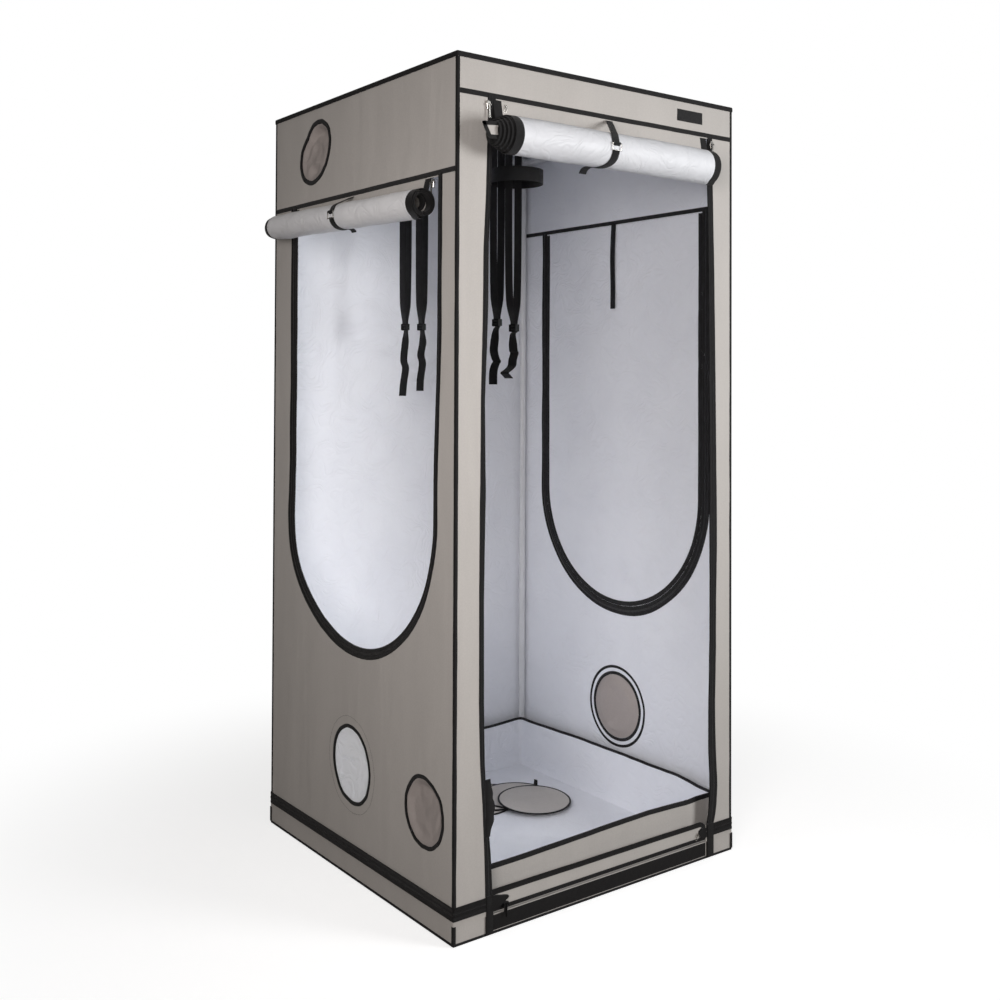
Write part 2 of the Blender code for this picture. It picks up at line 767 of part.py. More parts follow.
def port_sleeve(y, z, radius):
    """Duct sleeve drawn shut in a port of the left wall: a shallow pleated cup."""
    mouth = radius - GAP
    shape = bmesh.new()
    layers = []
    for back in (0.0, SLEEVE_CLOTH):
        rings = []
        shares = zip(SLEEVE_RING_SHARES, SLEEVE_DEPTH_SHARES, SLEEVE_PLEAT_SHARES)
        for ring_share, depth_share, pleat_share in shares:
            ring = []
            for index in range(PORT_STEPS):
                angle = tau * index / PORT_STEPS
                pleat = SLEEVE_PLEAT * pleat_share * sin(SLEEVE_PLEATS * angle)
                depth = back + SLEEVE_DEPTH * depth_share + pleat
                reach = mouth * ring_share
                place = (LEFT + depth, y + reach * cos(angle), z + reach * sin(angle))
                ring.append(shape.verts.new(place))
            rings.append(ring)
        layers.append(rings)
    front, rear = layers
    bands = list(zip(front, front[1:])) + list(zip(rear, rear[1:])) + [(front[0], rear[0])]
    for first, second in bands:
        for index in range(PORT_STEPS):
            follow = (index + 1) % PORT_STEPS
            shape.faces.new((first[index], first[follow], second[follow], second[index]))
    for rings, back in ((front, 0.0), (rear, SLEEVE_CLOTH)):
        centre = shape.verts.new((LEFT + SLEEVE_DEPTH + back, y, z))
        for index in range(PORT_STEPS):
            shape.faces.new((rings[-1][index], rings[-1][(index + 1) % PORT_STEPS], centre))
    return outward(shape)


def make_port_sleeves():
    """Three sleeves that are drawn shut, two on the left and one on the right."""
    side = port_sleeve(SIDE_PORT_Y, SIDE_PORT_Z, SIDE_PORT_RADIUS)
    high = port_sleeve(HIGH_PORT_Y, HIGH_PORT_Z, HIGH_PORT_RADIUS)
    right = port_sleeve(MAIN_PORT_Y, MAIN_PORT_Z, MAIN_PORT_RADIUS)
    add_piece("left_lower_port_sleeve", side, "cover_cloth", smooth_deg=SLEEVE_SMOOTH_DEG)
    add_piece("left_upper_port_sleeve", high, "cover_cloth", smooth_deg=SLEEVE_SMOOTH_DEG)
    add_piece("right_port_sleeve", mirrored_x(right), "cover_cloth", smooth_deg=SLEEVE_SMOOTH_DEG)


def make_right_door():
    """Closed side door, hung from its seam, with the zip tape raised round its edge."""
    half = ARCH_HALF - GAP
    top = ARCH_TOP - GAP
    sheet = prism(arch_outline(half, top), "YZ", LEFT, LEFT + CLOTH)
    tape = arch_outline(half, top)
    middle = arch_outline(half - ARCH_STRIP_WIDTH / 2, top + OVERRUN)
    raised = prism(tape, "YZ", LEFT - STRIP_PROUD, LEFT + CLOTH + STRIP_PROUD)
    raised = cut(raised, prism(middle, "YZ", LEFT - OVERRUN, LEFT + OVERRUN))
    door = mirrored_x(union(sheet, raised))
    add_piece("right_door", door, "cover_cloth", origin=(-LEFT + STRIP_PROUD, ARCH_CENTRE_Y, top))


def winding(seam_z, radius, roll_z):
    """Start of a door's cloth, middle of its roll, reach of its outer turn and where it touches."""
    start = (-DOOR_CLOTH / 2, seam_z - GAP)
    centre = (ROLL_STANDOFF + radius, roll_z)
    reach = radius - DOOR_CLOTH / 2
    return start, centre, reach, tangent_angle(start, centre, reach, 1)


def wound_reach(reach, first, angle):
    """Distance of the outer turn from the middle of the roll at an angle."""
    return reach - ROLL_PITCH * ((angle - first) / tau % 1)


def tangent_angle(point, centre, radius, side):
    """Angle at which a line from a point touches a circle, on its wall side (1) or not (-1)."""
    out, up = point[0] - centre[0], point[1] - centre[1]
    return atan2(up, out) + side * acos(radius / hypot(out, up))


def least_gap(path, thickness, steps):
    """Smallest clear distance between the turns of a winding."""
    least = None
    for index, point in enumerate(path):
        for other in path[index + steps // 2:]:
            clear = hypot(point[0] - other[0], point[1] - other[1]) - thickness
            least = clear if least is None else min(least, clear)
    return least


def rolled_door(name, place, seam_z, opening, roll, radius, roll_z, shift, shift_turns, rise_share):
    """Door cloth that hangs from its seam and is wound into a roll in front of the wall.

    opening and roll are the (low, high) edges of the cloth at the seam and in the roll. Each of
    the first turns is shifted sideways, which leaves the ends of the roll stepped.
    """
    start, centre, reach, first = winding(seam_z, radius, roll_z)
    touch = (centre[0] + reach * cos(first), centre[1] + reach * sin(first))
    path, edges, weights = [], [], []
    clear_share = HANG_SHARES[1]
    for share in HANG_SHARES:
        path.append(tuple(a + (b - a) * share for a, b in zip(start, touch)))
        edges.append(opening)
        weights.append(max(0.0, (share - clear_share) / (1 - clear_share)))
    turns = (reach - ROLL_CORE) / ROLL_PITCH
    for index in range(int(turns * ROLL_STEPS) + 1):
        turn = index / ROLL_STEPS
        angle = first + tau * turn
        wound = reach - ROLL_PITCH * turn
        path.append((centre[0] + wound * cos(angle), centre[1] + wound * sin(angle)))
        move = -shift * min(turn, shift_turns)
        spread = min(1.0, turn / ROLL_SPREAD_TURNS)
        edges.append(tuple(a + (b - a) * spread + move for a, b in zip(opening, roll)))
        weights.append(1.0)
    clear = least_gap(path[len(HANG_SHARES):], DOOR_CLOTH, ROLL_STEPS)
    print(name, "least gap between turns", round(clear, 5))
    shape = ribbon(path, edges, DOOR_CLOTH, lambda out, up, along: (out, up, along))
    for index, corner in enumerate(shape.verts):
        out, up, along = corner.co
        up += weights[index // 4] * rise_share * along
        corner.co = place(out, up, along)
    add_piece(name, outward(shape), "lining", origin=place(0.0, seam_z - GAP, 0.0))


def make_rolled_doors():
    """Front door and left door, rolled up."""
    half = FRONT_OPENING_HALF - GAP
    roll = (-FRONT_ROLL_HALF, FRONT_ROLL_HALF)
    rolled_door(
        "front_door_roll", on_front, FRONT_OPENING_HIGH, (-half, half), roll,
        FRONT_ROLL_RADIUS, FRONT_ROLL_Z, FRONT_ROLL_SHIFT, FRONT_ROLL_SHIFT_TURNS, 0.0,
    )
    half = ARCH_HALF - GAP
    opening = (ARCH_CENTRE_Y - half, ARCH_CENTRE_Y + half)
    roll = (LEFT_ROLL_CENTRE_Y - LEFT_ROLL_HALF, LEFT_ROLL_CENTRE_Y + LEFT_ROLL_HALF)
    rolled_door(
        "left_door_roll", on_left, ARCH_TOP, opening, roll,
        LEFT_ROLL_RADIUS, LEFT_ROLL_Z, LEFT_ROLL_SHIFT, LEFT_ROLL_SHIFT_TURNS, LEFT_ROLL_RISE_SHARE,
    )


def roll_strap(place, seam_z, radius, roll_z, along):
    """Strap from the seam over a rolled door, with a keeper for its ring."""
    _, centre, reach, touch = winding(seam_z, radius, roll_z)
    lift = DOOR_CLOTH / 2 + STRAP_LIFT + WEB_THICKNESS / 2
    start = (SEAM_PROUD + WEB_THICKNESS, seam_z - WEB_THICKNESS)
    first = tangent_angle(start, centre, reach - ROLL_PITCH + lift, -1)
    last = radians(STRAP_END_DEG)
    path = [start]
    for index in range(STRAP_STEPS + 1):
        angle = first + (last - first) * index / STRAP_STEPS
        hold = wound_reach(reach, touch, angle) + lift
        path.append((centre[0] + hold * cos(angle), centre[1] + hold * sin(angle)))
    heading = last - pi / 2
    tail = STRAP_TAIL / len(STRAP_TAIL_BENDS_DEG)
    for bend in STRAP_TAIL_BENDS_DEG:
        heading += radians(bend)
        path.append((path[-1][0] + tail * cos(heading), path[-1][1] + tail * sin(heading)))
    edges = [(along - WEB_WIDTH / 2, along + WEB_WIDTH / 2)] * len(path)
    band = ribbon(path, edges, WEB_THICKNESS, place)
    root = centre[0] + wound_reach(reach, touch, 0.0) + lift
    ring_out = root + WEB_THICKNESS / 2 + RING_STANDOFF + RING_WIRE
    out = ring_out + GAP + KEEPER_CLOTH / 2
    bar = roll_z + RING_HEIGHT / 2 - RING_WIRE / 2
    grip = RING_WIRE / 2 + GAP + KEEPER_CLOTH
    keeper_path = [
        (root - WEB_THICKNESS, bar + grip),
        (out - RING_CHAMFER, bar + grip),
        (out, bar + grip / 2),
        (out, bar - grip / 2),
        (out - RING_CHAMFER, bar - grip),
        (root, bar - grip),
    ]
    keeper_edges = [(along - KEEPER_WIDTH / 2, along + KEEPER_WIDTH / 2)] * len(keeper_path)
    return union(band, ribbon(keeper_path, keeper_edges, KEEPER_CLOTH, place))


def roll_ring(place, seam_z, radius, roll_z, along):
    """Metal ring on a roll strap, and the middle of the bar that it turns on."""
    _, centre, reach, touch = winding(seam_z, radius, roll_z)
    strap = DOOR_CLOTH / 2 + STRAP_LIFT + WEB_THICKNESS
    face = centre[0] + wound_reach(reach, touch, 0.0) + strap + RING_STANDOFF
    shape = bmesh.new()
    loops = []
    half_w, half_h = RING_WIDTH / 2, RING_HEIGHT / 2
    wire, start, end = RING_WIRE, RING_CHAMFER, RING_WIRE - RING_CHAMFER
    section = [(0.0, start), (start, 0.0), (end, 0.0), (wire, start)]
    section += [(wire, end), (end, wire), (start, wire), (0.0, end)]
    for inset, depth in section:
        outline = rectangle(-half_w + inset, -half_h + inset, half_w - inset, half_h - inset)
        corners = [place(face + depth, roll_z + v, along + u) for u, v in outline]
        loops.append([shape.verts.new(corner) for corner in corners])
    for first, second in zip(loops, loops[1:] + loops[:1]):
        for side in range(4):
            follow = (side + 1) % 4
            shape.faces.new((first[side], first[follow], second[follow], second[side]))
    return outward(shape), place(face + wire / 2, roll_z + half_h - wire / 2, along)


def make_roll_straps():
    """Strap and ring on each rolled door."""
    left_z = LEFT_ROLL_Z + LEFT_ROLL_RISE_SHARE * LEFT_STRAP_Y
    for side, place, seam_z, radius, roll_z, along in (
        ("front", on_front, FRONT_OPENING_HIGH, FRONT_ROLL_RADIUS, FRONT_ROLL_Z, FRONT_STRAP_X),
        ("left", on_left, ARCH_TOP, LEFT_ROLL_RADIUS, left_z, LEFT_STRAP_Y),
    ):
        strap = roll_strap(place, seam_z, radius, roll_z, along)
        hinge = place(0.0, seam_z - GAP, 0.0)
        add_piece(f"{side}_roll_strap", strap, "webbing", origin=hinge)
        ring, pivot = roll_ring(place, seam_z, radius, roll_z, along)
        add_piece(f"{side}_roll_ring", ring, "nickel", origin=pivot)


def strand_line():
    """Line of one strand beside the bar's middle: it leaves the bar wide and closes in below."""
    over = TUBE_RADIUS + GAP + WEB_THICKNESS / 2
    points = []
    for drop_share, spread_share in zip(STRAND_DROP_SHARES, STRAND_SPREAD_SHARES):
        spread = WEB_SPREAD + (over - WEB_SPREAD) * spread_share
        points.append((spread, FRAME_HIGH - WEB_JOIN_BELOW_BAR * drop_share))
    return smooth_path(points, STRAP_CURVE_STEPS)


def strand_spread(height):
    """Distance of a strand from the bar's middle at a height."""
    line = strand_line()
    for (wide, high), (close, low) in zip(line, line[1:]):
        if low <= height:
            return close + (wide - close) * (height - low) / (high - low)
    return line[-1][0]


def hanging_strap(y, lock_z, tail, kink_sign):
    """Webbing looped over the left bar: two strands down to a ladder lock, then one tail."""
    foot = lock_z - WEB_END_BELOW_LOCK
    side = strand_line() + [(WEB_SPREAD, foot)]
    loop = arc(0.0, FRAME_HIGH, side[0][0], 180, 0, ROUND_STEPS)
    path = [(-u, v) for u, v in reversed(side)][:-1] + loop + side[1:]
    drops = [(WEB_SPREAD, foot)]
    for drop_share, kink_share in zip(TAIL_DROP_SHARES, TAIL_KINK_SHARES):
        kink = kink_sign * TAIL_KINK * kink_share
        drop = (tail - WEB_END_BELOW_LOCK) * drop_share
        drops.append((WEB_SPREAD + kink, foot - drop))
    path += smooth_path(drops, STRAP_CURVE_STEPS)[1:]
    edges = [(y - WEB_WIDTH / 2, y + WEB_WIDTH / 2)] * len(path)
    return ribbon(path, edges, WEB_THICKNESS, lambda u, v, along: (u - BAR_X, along, v))


def ladder_lock(y, z):
    """Ladder lock round both strands: a sleeve with two windows each side and a middle bar."""
    inner_x = WEB_SPREAD + WEB_THICKNESS / 2 + LOCK_PLAY
    inner_y = WEB_WIDTH / 2 + LOCK_PLAY
    outer_x, outer_y = inner_x + LOCK_WALL, inner_y + LOCK_WALL
    half = LOCK_HEIGHT / 2
    centre = Vector((-BAR_X, y, z))
    outside = Vector((outer_x, outer_y, half))
    shape = box(centre - outside, centre + outside)
    through = Vector((inner_x, inner_y, half + OVERRUN))
    shape = cut(shape, box(centre - through, centre + through))
    for level in (-1, 1):
        middle = centre + Vector((0.0, 0.0, level * (LOCK_WINDOW + LOCK_BAR) / 2))
        window = Vector((outer_x + OVERRUN, inner_y - LOCK_WALL, LOCK_WINDOW / 2))
        shape = cut(shape, box(middle - window, middle + window))
    bar_reach = Vector((0.0, outer_y - LOCK_WALL / 2, 0.0))
    bar = rod(centre - bar_reach, centre + bar_reach, LOCK_BAR / 2, ROUND_STEPS)
    return union(shape, bar)


def make_hanging_straps():
    """Two straps near the front and two near the back, each with its ladder lock."""
    for name, y, lock_drop, tail, kink_sign in (
        ("front_a", FRONT_STRAP_A_Y, FRONT_LOCK_A_DROP, FRONT_TAIL_A, -1),
        ("front_b", FRONT_STRAP_B_Y, FRONT_LOCK_B_DROP, FRONT_TAIL_B, 1),
        ("back_a", BACK_STRAP_A_Y, BACK_LOCK_A_DROP, BACK_TAIL_A, -1),
        ("back_b", BACK_STRAP_B_Y, BACK_LOCK_B_DROP, BACK_TAIL_B, 1),
    ):
        lock_z = FRAME_HIGH - lock_drop
        strap = hanging_strap(y, lock_z, tail, kink_sign)
        add_piece(f"hanging_strap_{name}", strap, "webbing", origin=(-BAR_X, y, FRAME_HIGH))
        lock = ladder_lock(y, lock_z)
        add_piece(f"ladder_lock_{name}", lock, "buckle", origin=(-BAR_X, y, lock_z))


def make_belt():
    """Wide belt round the front straps, its end lapped inside, hung on one strap's edge."""
    seat = radians(BELT_SEAT_DEG)
    spread = strand_spread(BELT_Z + BELT_WIDTH / 2)
    corner_x = -BAR_X - spread - WEB_THICKNESS / 2
    corner_y = FRONT_STRAP_A_Y + WEB_WIDTH / 2
    start = radians(BELT_START_DEG)
    seat_turn = (seat - start) / tau % 1
    inscribed = (BELT_RADIUS - BELT_STEP * seat_turn) * cos(pi / BELT_STEPS)
    reach = inscribed - BELT_THICKNESS / 2 - GAP
    centre_x = corner_x - reach * cos(seat)
    centre_y = corner_y - reach * sin(seat)
    path = []
    for index in range(int(BELT_STEPS * BELT_TURNS) + 1):
        turn = index / BELT_STEPS
        angle = start + tau * turn
        radius = BELT_RADIUS - BELT_STEP * turn
        path.append((centre_x + radius * cos(angle), centre_y + radius * sin(angle)))
    edges = [(BELT_Z - BELT_WIDTH / 2, BELT_Z + BELT_WIDTH / 2)] * len(path)
    shape = ribbon(path, edges, BELT_THICKNESS, lambda x, y, z: (x, y, z))
    add_piece("belt", shape, "webbing", origin=(-BAR_X, centre_y, FRAME_HIGH))


def make_door_tie():
    """Strap that hangs from the seam inside the right door."""
    top = ARCH_TOP + SEAM_ABOVE_OPENING + SEAM_WIDTH / 2
    face = -LEFT - CLOTH - STRIP_PROUD - GAP - WEB_THICKNESS / 2
    points = [(face, top), (face, top - SEAM_WIDTH)]
    for drop_share, sway_share in zip(TIE_DROP_SHARES, TIE_SWAY_SHARES):
        points.append((face - TIE_SWAY * sway_share, top - TIE_LENGTH * drop_share))
    path = smooth_path(points, TIE_STEPS)
    edges = [(TIE_Y - TIE_WIDTH / 2, TIE_Y + TIE_WIDTH / 2)] * len(path)
    shape = ribbon(path, edges, WEB_THICKNESS, lambda x, z, y: (x, y, z))
    add_piece("right_door_tie", shape, "webbing", origin=(face, TIE_Y, top))


def slider_frame(place, height, along, turn_deg=0):
    """Matrix from a slider's own axes (X across, -Y out, Z along the zip) to the tent."""
    base = Vector(place(STRIP_FACE, height, along))
    out = (Vector(place(1.0, height, along)) - Vector(place(0.0, height, along))).normalized()
    across = Vector((0.0, 0.0, 1.0)).cross(out)
    frame = Matrix.Identity(4)
    frame.col[0] = (*across, 0.0)
    frame.col[1] = (*(-out), 0.0)
    frame.col[3] = (*base, 1.0)
    return frame @ Matrix.Rotation(radians(turn_deg), 4, "Y")


def slider_body(frame):
    """Zip slider with two ears and a pin, in a frame on the zip tape."""
    wide, nose, foot = SLIDER_WIDTH / 2, SLIDER_NOSE / 2, SLIDER_FOOT / 2
    half = SLIDER_LENGTH / 2
    outline = [(-foot, -half), (foot, -half), (wide, SLIDER_SHOULDER), (nose, half)]
    outline += [(-nose, half), (-wide, SLIDER_SHOULDER)]
    shape = bevelled(prism(outline, "XZ", -SLIDER_DEPTH, 0.0), SLIDER_EDGE)
    inner = PULL_WIDTH / 2 + PULL_PLAY
    outer = inner + EAR_THICKNESS
    pin_y = -SLIDER_DEPTH - PIN_STANDOFF
    for side in (-1, 1):
        low_x, high_x = sorted((side * inner, side * outer))
        ear_low = (low_x, -SLIDER_DEPTH - EAR_DEPTH, -EAR_HEIGHT / 2)
        shape = union(shape, box(ear_low, (high_x, -SLIDER_DEPTH / 2, EAR_HEIGHT / 2)))
    reach = (inner + outer) / 2
    pin = rod((-reach, pin_y, 0.0), (reach, pin_y, 0.0), PIN_RADIUS, ROUND_STEPS)
    shape = union(shape, pin)
    shape.transform(frame)
    return shape, frame @ Vector((0.0, pin_y, 0.0))


def slider_pull(frame):
    """Pull tab that hangs from the slider's pin."""
    pin_y = -SLIDER_DEPTH - PIN_STANDOFF
    half = PULL_WIDTH / 2
    bore = PIN_RADIUS + PULL_PLAY
    profile = rectangle(bore, -half, PULL_EYE, half)
    turn = Matrix.Translation((0.0, pin_y, 0.0)) @ Matrix.Rotation(pi / 2, 4, "Y")
    shape = turned(profile, ROUND_STEPS, turn)
    foot = PULL_FOOT / 2
    start = -(bore + PULL_EYE) / 2
    neck = PULL_NECK / 2
    shoulder = start - PULL_NECK_LENGTH
    outline = [(-neck, start), (-neck, shoulder)]
    outline += arc(0.0, -PULL_LENGTH + foot, foot, 180, 360, ROUND_STEPS // 2)
    outline += [(neck, shoulder), (neck, start)]
    thick = PULL_THICKNESS / 2
    shape = union(shape, prism(outline, "XZ", pin_y - thick, pin_y + thick))
    hole = circle(0.0, -PULL_LENGTH + foot, foot / 2, ROUND_STEPS)
    shape = cut(shape, prism(hole, "XZ", pin_y - OVERRUN, pin_y + OVERRUN))
    shape.transform(frame)
    return shape


def make_door_sliders():
    """Zip slider and pull at the top of each front zip and of the left door's zip."""
    down = SLIDER_LENGTH / 2 + SLIDER_TOP_GAP
    front_x = FRONT_OPENING_HALF + FRONT_STRIP_WIDTH / 2
    left_y = ARCH_CENTRE_Y - ARCH_HALF - ARCH_STRIP_WIDTH / 2
    for name, place, height, along in (
        ("front_left", on_front, FRONT_OPENING_HIGH - down, -front_x),
        ("front_right", on_front, FRONT_OPENING_HIGH - down, front_x),
        ("left_door", on_left, ARCH_TOP - down, left_y),
    ):
        frame = slider_frame(place, height, along)
        body, pin = slider_body(frame)
        add_piece(f"zip_slider_{name}", body, "nickel", origin=frame.translation)
        add_piece(f"zip_pull_{name}", slider_pull(frame), "nickel", origin=pin)


def make_sill_slider():
    """Slider on the level zip of the sill, with a cord loop for a pull."""
    height = SILL_ZIP_LOW + SILL_ZIP_HEIGHT / 2
    frame = slider_frame(on_front, height, SILL_SLIDER_X, turn_deg=90)
    body, pin = slider_body(frame)
    pin = Vector(pin)
    low = pin - Vector((0.0, 0.0, CORD_LENGTH))
    body = union(body, rod(pin, low, CORD_RADIUS, ROUND_STEPS, CORD_RADIUS / 2))
    add_piece("zip_slider_sill", body, "nickel", origin=frame.translation)


def make_tray():
    """Spill tray that stands inside the posts, with a bound lip."""
    foot = CONNECTOR_HALF + TRAY_PLAY
    lip = TUBE_RADIUS + TRAY_PLAY
    low = CLOTH + GAP
    bend = FRAME_LOW + CONNECTOR_HALF + TRAY_PLAY
    high = low + TRAY_HEIGHT
    rings = [
        (-FRAME_INSET - foot - CLOTH, low + CLOTH),
        (-FRAME_INSET - foot - CLOTH, bend),
        (-FRAME_INSET - lip - TRAY_BEAD - CLOTH, high),
        (-FRAME_INSET - lip, high),
        (-FRAME_INSET - lip, high - TRAY_BEAD_HEIGHT),
        (-FRAME_INSET - lip - TRAY_BEAD, high - TRAY_BEAD_HEIGHT),
        (-FRAME_INSET - foot, bend),
        (-FRAME_INSET - foot, low),
    ]
    add_piece("spill_tray", box_rings(rings), "lining")


def port_cover(tab_deg):
    """Round cover: a thin disc in a bound rim, with one small tab, about its own centre."""
    rim = COVER_RIM_HEIGHT / 2
    plate = COVER_PLATE / 2
    inner = COVER_RADIUS - COVER_RIM
    profile = [(0.0, -plate), (inner, -plate), (inner, -rim), (COVER_RADIUS, -rim)]
    profile += [(COVER_RADIUS, rim), (inner, rim), (inner, plate), (0.0, plate)]
    shape = turned(profile, COVER_STEPS, Matrix.Identity(4), closed=False)
    half = COVER_TAB_WIDTH / 2
    tab_root = COVER_RADIUS - COVER_RIM / 2
    tab = box((tab_root, -half, -plate), (COVER_RADIUS + COVER_TAB, half, plate))
    tab.transform(Matrix.Rotation(radians(tab_deg), 4, "Z"))
    return union(shape, tab)


def make_port_covers():
    """Four loose covers fanned out on the tray floor, the top one leaning on the rim below it."""
    step = COVER_RIM_HEIGHT + GAP
    z = CLOTH + GAP + CLOTH + GAP + COVER_RIM_HEIGHT / 2
    lean = radians(COVER_LEAN_DEG)
    rim_above_plate = (COVER_RIM_HEIGHT - COVER_PLATE) / 2
    rest = (COVER_D_Y - COVER_C_Y + COVER_RADIUS) * sin(lean) - rim_above_plate
    covers = (
        ("port_cover_a", COVER_A_X, COVER_A_Y, 0.0, 0.0),
        ("port_cover_b", COVER_B_X, COVER_B_Y, 0.0, 0.0),
        ("port_cover_c", COVER_C_X, COVER_C_Y, 0.0, 0.0),
        ("port_cover_d", COVER_D_X, COVER_D_Y, lean, rest),
    )
    for (name, x, y, turn_x, lift), tab_deg in zip(covers, COVER_TAB_DEGS):
        shape = port_cover(tab_deg)
        shape.transform(Matrix.Translation((x, y, z + lift)) @ Matrix.Rotation(turn_x, 4, "X"))
        add_piece(name, shape, "cover_cloth", origin=(x, y, z + lift))
        z += step


def build():
    """Model the whole tent."""
    clear_scene()
    make_posts()
    make_rails()
    make_connectors()
    make_ceiling_bars()
    make_base_tub()
    make_roof()
    make_front_wall()
    make_back_wall()
    make_side_walls()
    make_port_sleeves()
    make_right_door()
    make_rolled_doors()
    make_roll_straps()
    make_hanging_straps()
    make_belt()
    make_door_tie()
    make_door_sliders()
    make_sill_slider()
    make_tray()
    make_port_covers()


build()
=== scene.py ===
"""Indoor grow tent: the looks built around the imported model.

Metres, +Z up. The front faces -Y, and the origin is on the floor under the middle of the tent.
"""

from math import acos, atan2, cos, hypot, pi, radians, sin, tau

import bmesh
import bpy
import numpy as np
from mathutils import Matrix, Vector, noise
from mathutils.geometry import delaunay_2d_cdt, interpolate_bezier


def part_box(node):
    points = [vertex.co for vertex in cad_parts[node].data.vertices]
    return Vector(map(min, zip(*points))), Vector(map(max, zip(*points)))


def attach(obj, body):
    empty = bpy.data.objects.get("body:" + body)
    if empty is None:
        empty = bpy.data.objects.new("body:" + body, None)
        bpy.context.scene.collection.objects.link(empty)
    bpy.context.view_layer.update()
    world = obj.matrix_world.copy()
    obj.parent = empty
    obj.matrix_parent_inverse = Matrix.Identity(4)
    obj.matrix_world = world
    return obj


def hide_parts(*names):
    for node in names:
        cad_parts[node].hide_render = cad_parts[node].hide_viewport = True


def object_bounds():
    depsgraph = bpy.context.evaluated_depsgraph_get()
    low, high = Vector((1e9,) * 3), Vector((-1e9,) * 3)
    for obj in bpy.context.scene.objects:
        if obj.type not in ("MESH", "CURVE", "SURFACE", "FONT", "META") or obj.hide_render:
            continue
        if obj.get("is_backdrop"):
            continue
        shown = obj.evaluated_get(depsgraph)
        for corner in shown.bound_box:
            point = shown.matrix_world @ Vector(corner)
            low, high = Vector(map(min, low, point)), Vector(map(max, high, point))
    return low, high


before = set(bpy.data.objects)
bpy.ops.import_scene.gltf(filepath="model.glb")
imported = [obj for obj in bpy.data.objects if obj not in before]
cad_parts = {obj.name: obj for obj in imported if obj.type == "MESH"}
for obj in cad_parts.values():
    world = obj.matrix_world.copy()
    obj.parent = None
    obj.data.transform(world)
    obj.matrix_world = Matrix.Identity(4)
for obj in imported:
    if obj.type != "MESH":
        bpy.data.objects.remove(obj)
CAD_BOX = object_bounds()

# Sizes that the model already holds
HALF = 0.5
TOP = 2.2
CLOTH = 0.002
GAP = 0.0003
PANEL_INSET = 0.0012
TAPE_HIGH = 0.0012
WALL_LOW = 0.0523
WALL_HIGH = 2.1977
DOOR_HALF = 0.39
DOOR_TOP = 2.1
FRONT_LOW = 0.0985
FRONT_STRIP = 0.035
SILL_EDGE = 0.108
SILL_ROUND = 0.024
ARCH_HALF = 0.375
ARCH_Y = -0.01
ARCH_Z = 1.02
ARCH_TOP = 1.905
LEFT_ARCH = (-0.0255, 1.024, 0.3785)
ARCHES = {"left": LEFT_ARCH, "right": (ARCH_Y, ARCH_Z, ARCH_HALF)}
ARCH_STRIP = 0.03
SEAM_WIDTH = 0.014
SEAM_TAPE = 0.0118
STITCH_PITCH = 0.0046
STITCH_LENGTH = 0.0031
STITCH_WIDTH = 0.0007
SIDE_REACH = 0.4977
MAIN_PORT = (-0.005, 0.311, 0.103)
OPEN_PORT = (0.004, 0.311, 0.0966)
SIDE_PORT = (-0.368, 0.289, 0.0825)
HIGH_PORT = (0.237, 2.064, 0.083)
WALL_PORTS = {"left": (OPEN_PORT, SIDE_PORT, HIGH_PORT), "right": (MAIN_PORT,)}
PORT_PULL = {OPEN_PORT: (0.973, 1.028, 0.05), SIDE_PORT: (0.99, 1.0, 0.0), HIGH_PORT: (0.95, 0.99, -0.26)}
FRAME_EDGE = 0.48
TUBE_RADIUS = 0.011
TUBE_WALL = 0.0012
FRAME_LOW = 0.02
FRAME_HIGH = 2.18
BAR_X = 0.145
WEB_WIDTH = 0.025
WEB = 0.0015

# Camera
CAMERA_PLACE = (-2.1427, -2.8578, 1.3951)
CAMERA_YAW = 37.025
CAMERA_PITCH = 0.934
CAMERA_ROLL = 0.232
CAMERA_LENS = 41.895
CAMERA_SHIFT_Y = -0.1412


def make_camera():
    """Camera at the photograph's place and angle."""
    data = bpy.data.cameras.new("camera")
    data.lens = CAMERA_LENS
    data.sensor_width = 36
    data.shift_y = CAMERA_SHIFT_Y
    data.clip_end = 200
    yaw, pitch, roll = radians(CAMERA_YAW), radians(CAMERA_PITCH), radians(CAMERA_ROLL)
    forward = Vector((sin(yaw) * cos(pitch), cos(yaw) * cos(pitch), sin(pitch)))
    level = forward.cross(Vector((0, 0, 1))).normalized()
    above = level.cross(forward)
    right = level * cos(roll) + above * sin(roll)
    up = above * cos(roll) - level * sin(roll)
    turn = Matrix((right, up, -forward)).transposed().to_4x4()
    camera = bpy.data.objects.new("camera", data)
    camera.matrix_world = Matrix.Translation(CAMERA_PLACE) @ turn
    bpy.context.scene.collection.objects.link(camera)
    bpy.context.scene.camera = camera


# ---------------------------------------------------------------- materials

def linear(red, green, blue):
    """Linear colour of an 8-bit display colour."""
    def one(value):
        share = value / 255
        return share / 12.92 if share <= 0.04045 else ((share + 0.055) / 1.055) ** 2.4
    return (one(red), one(green), one(blue), 1.0)


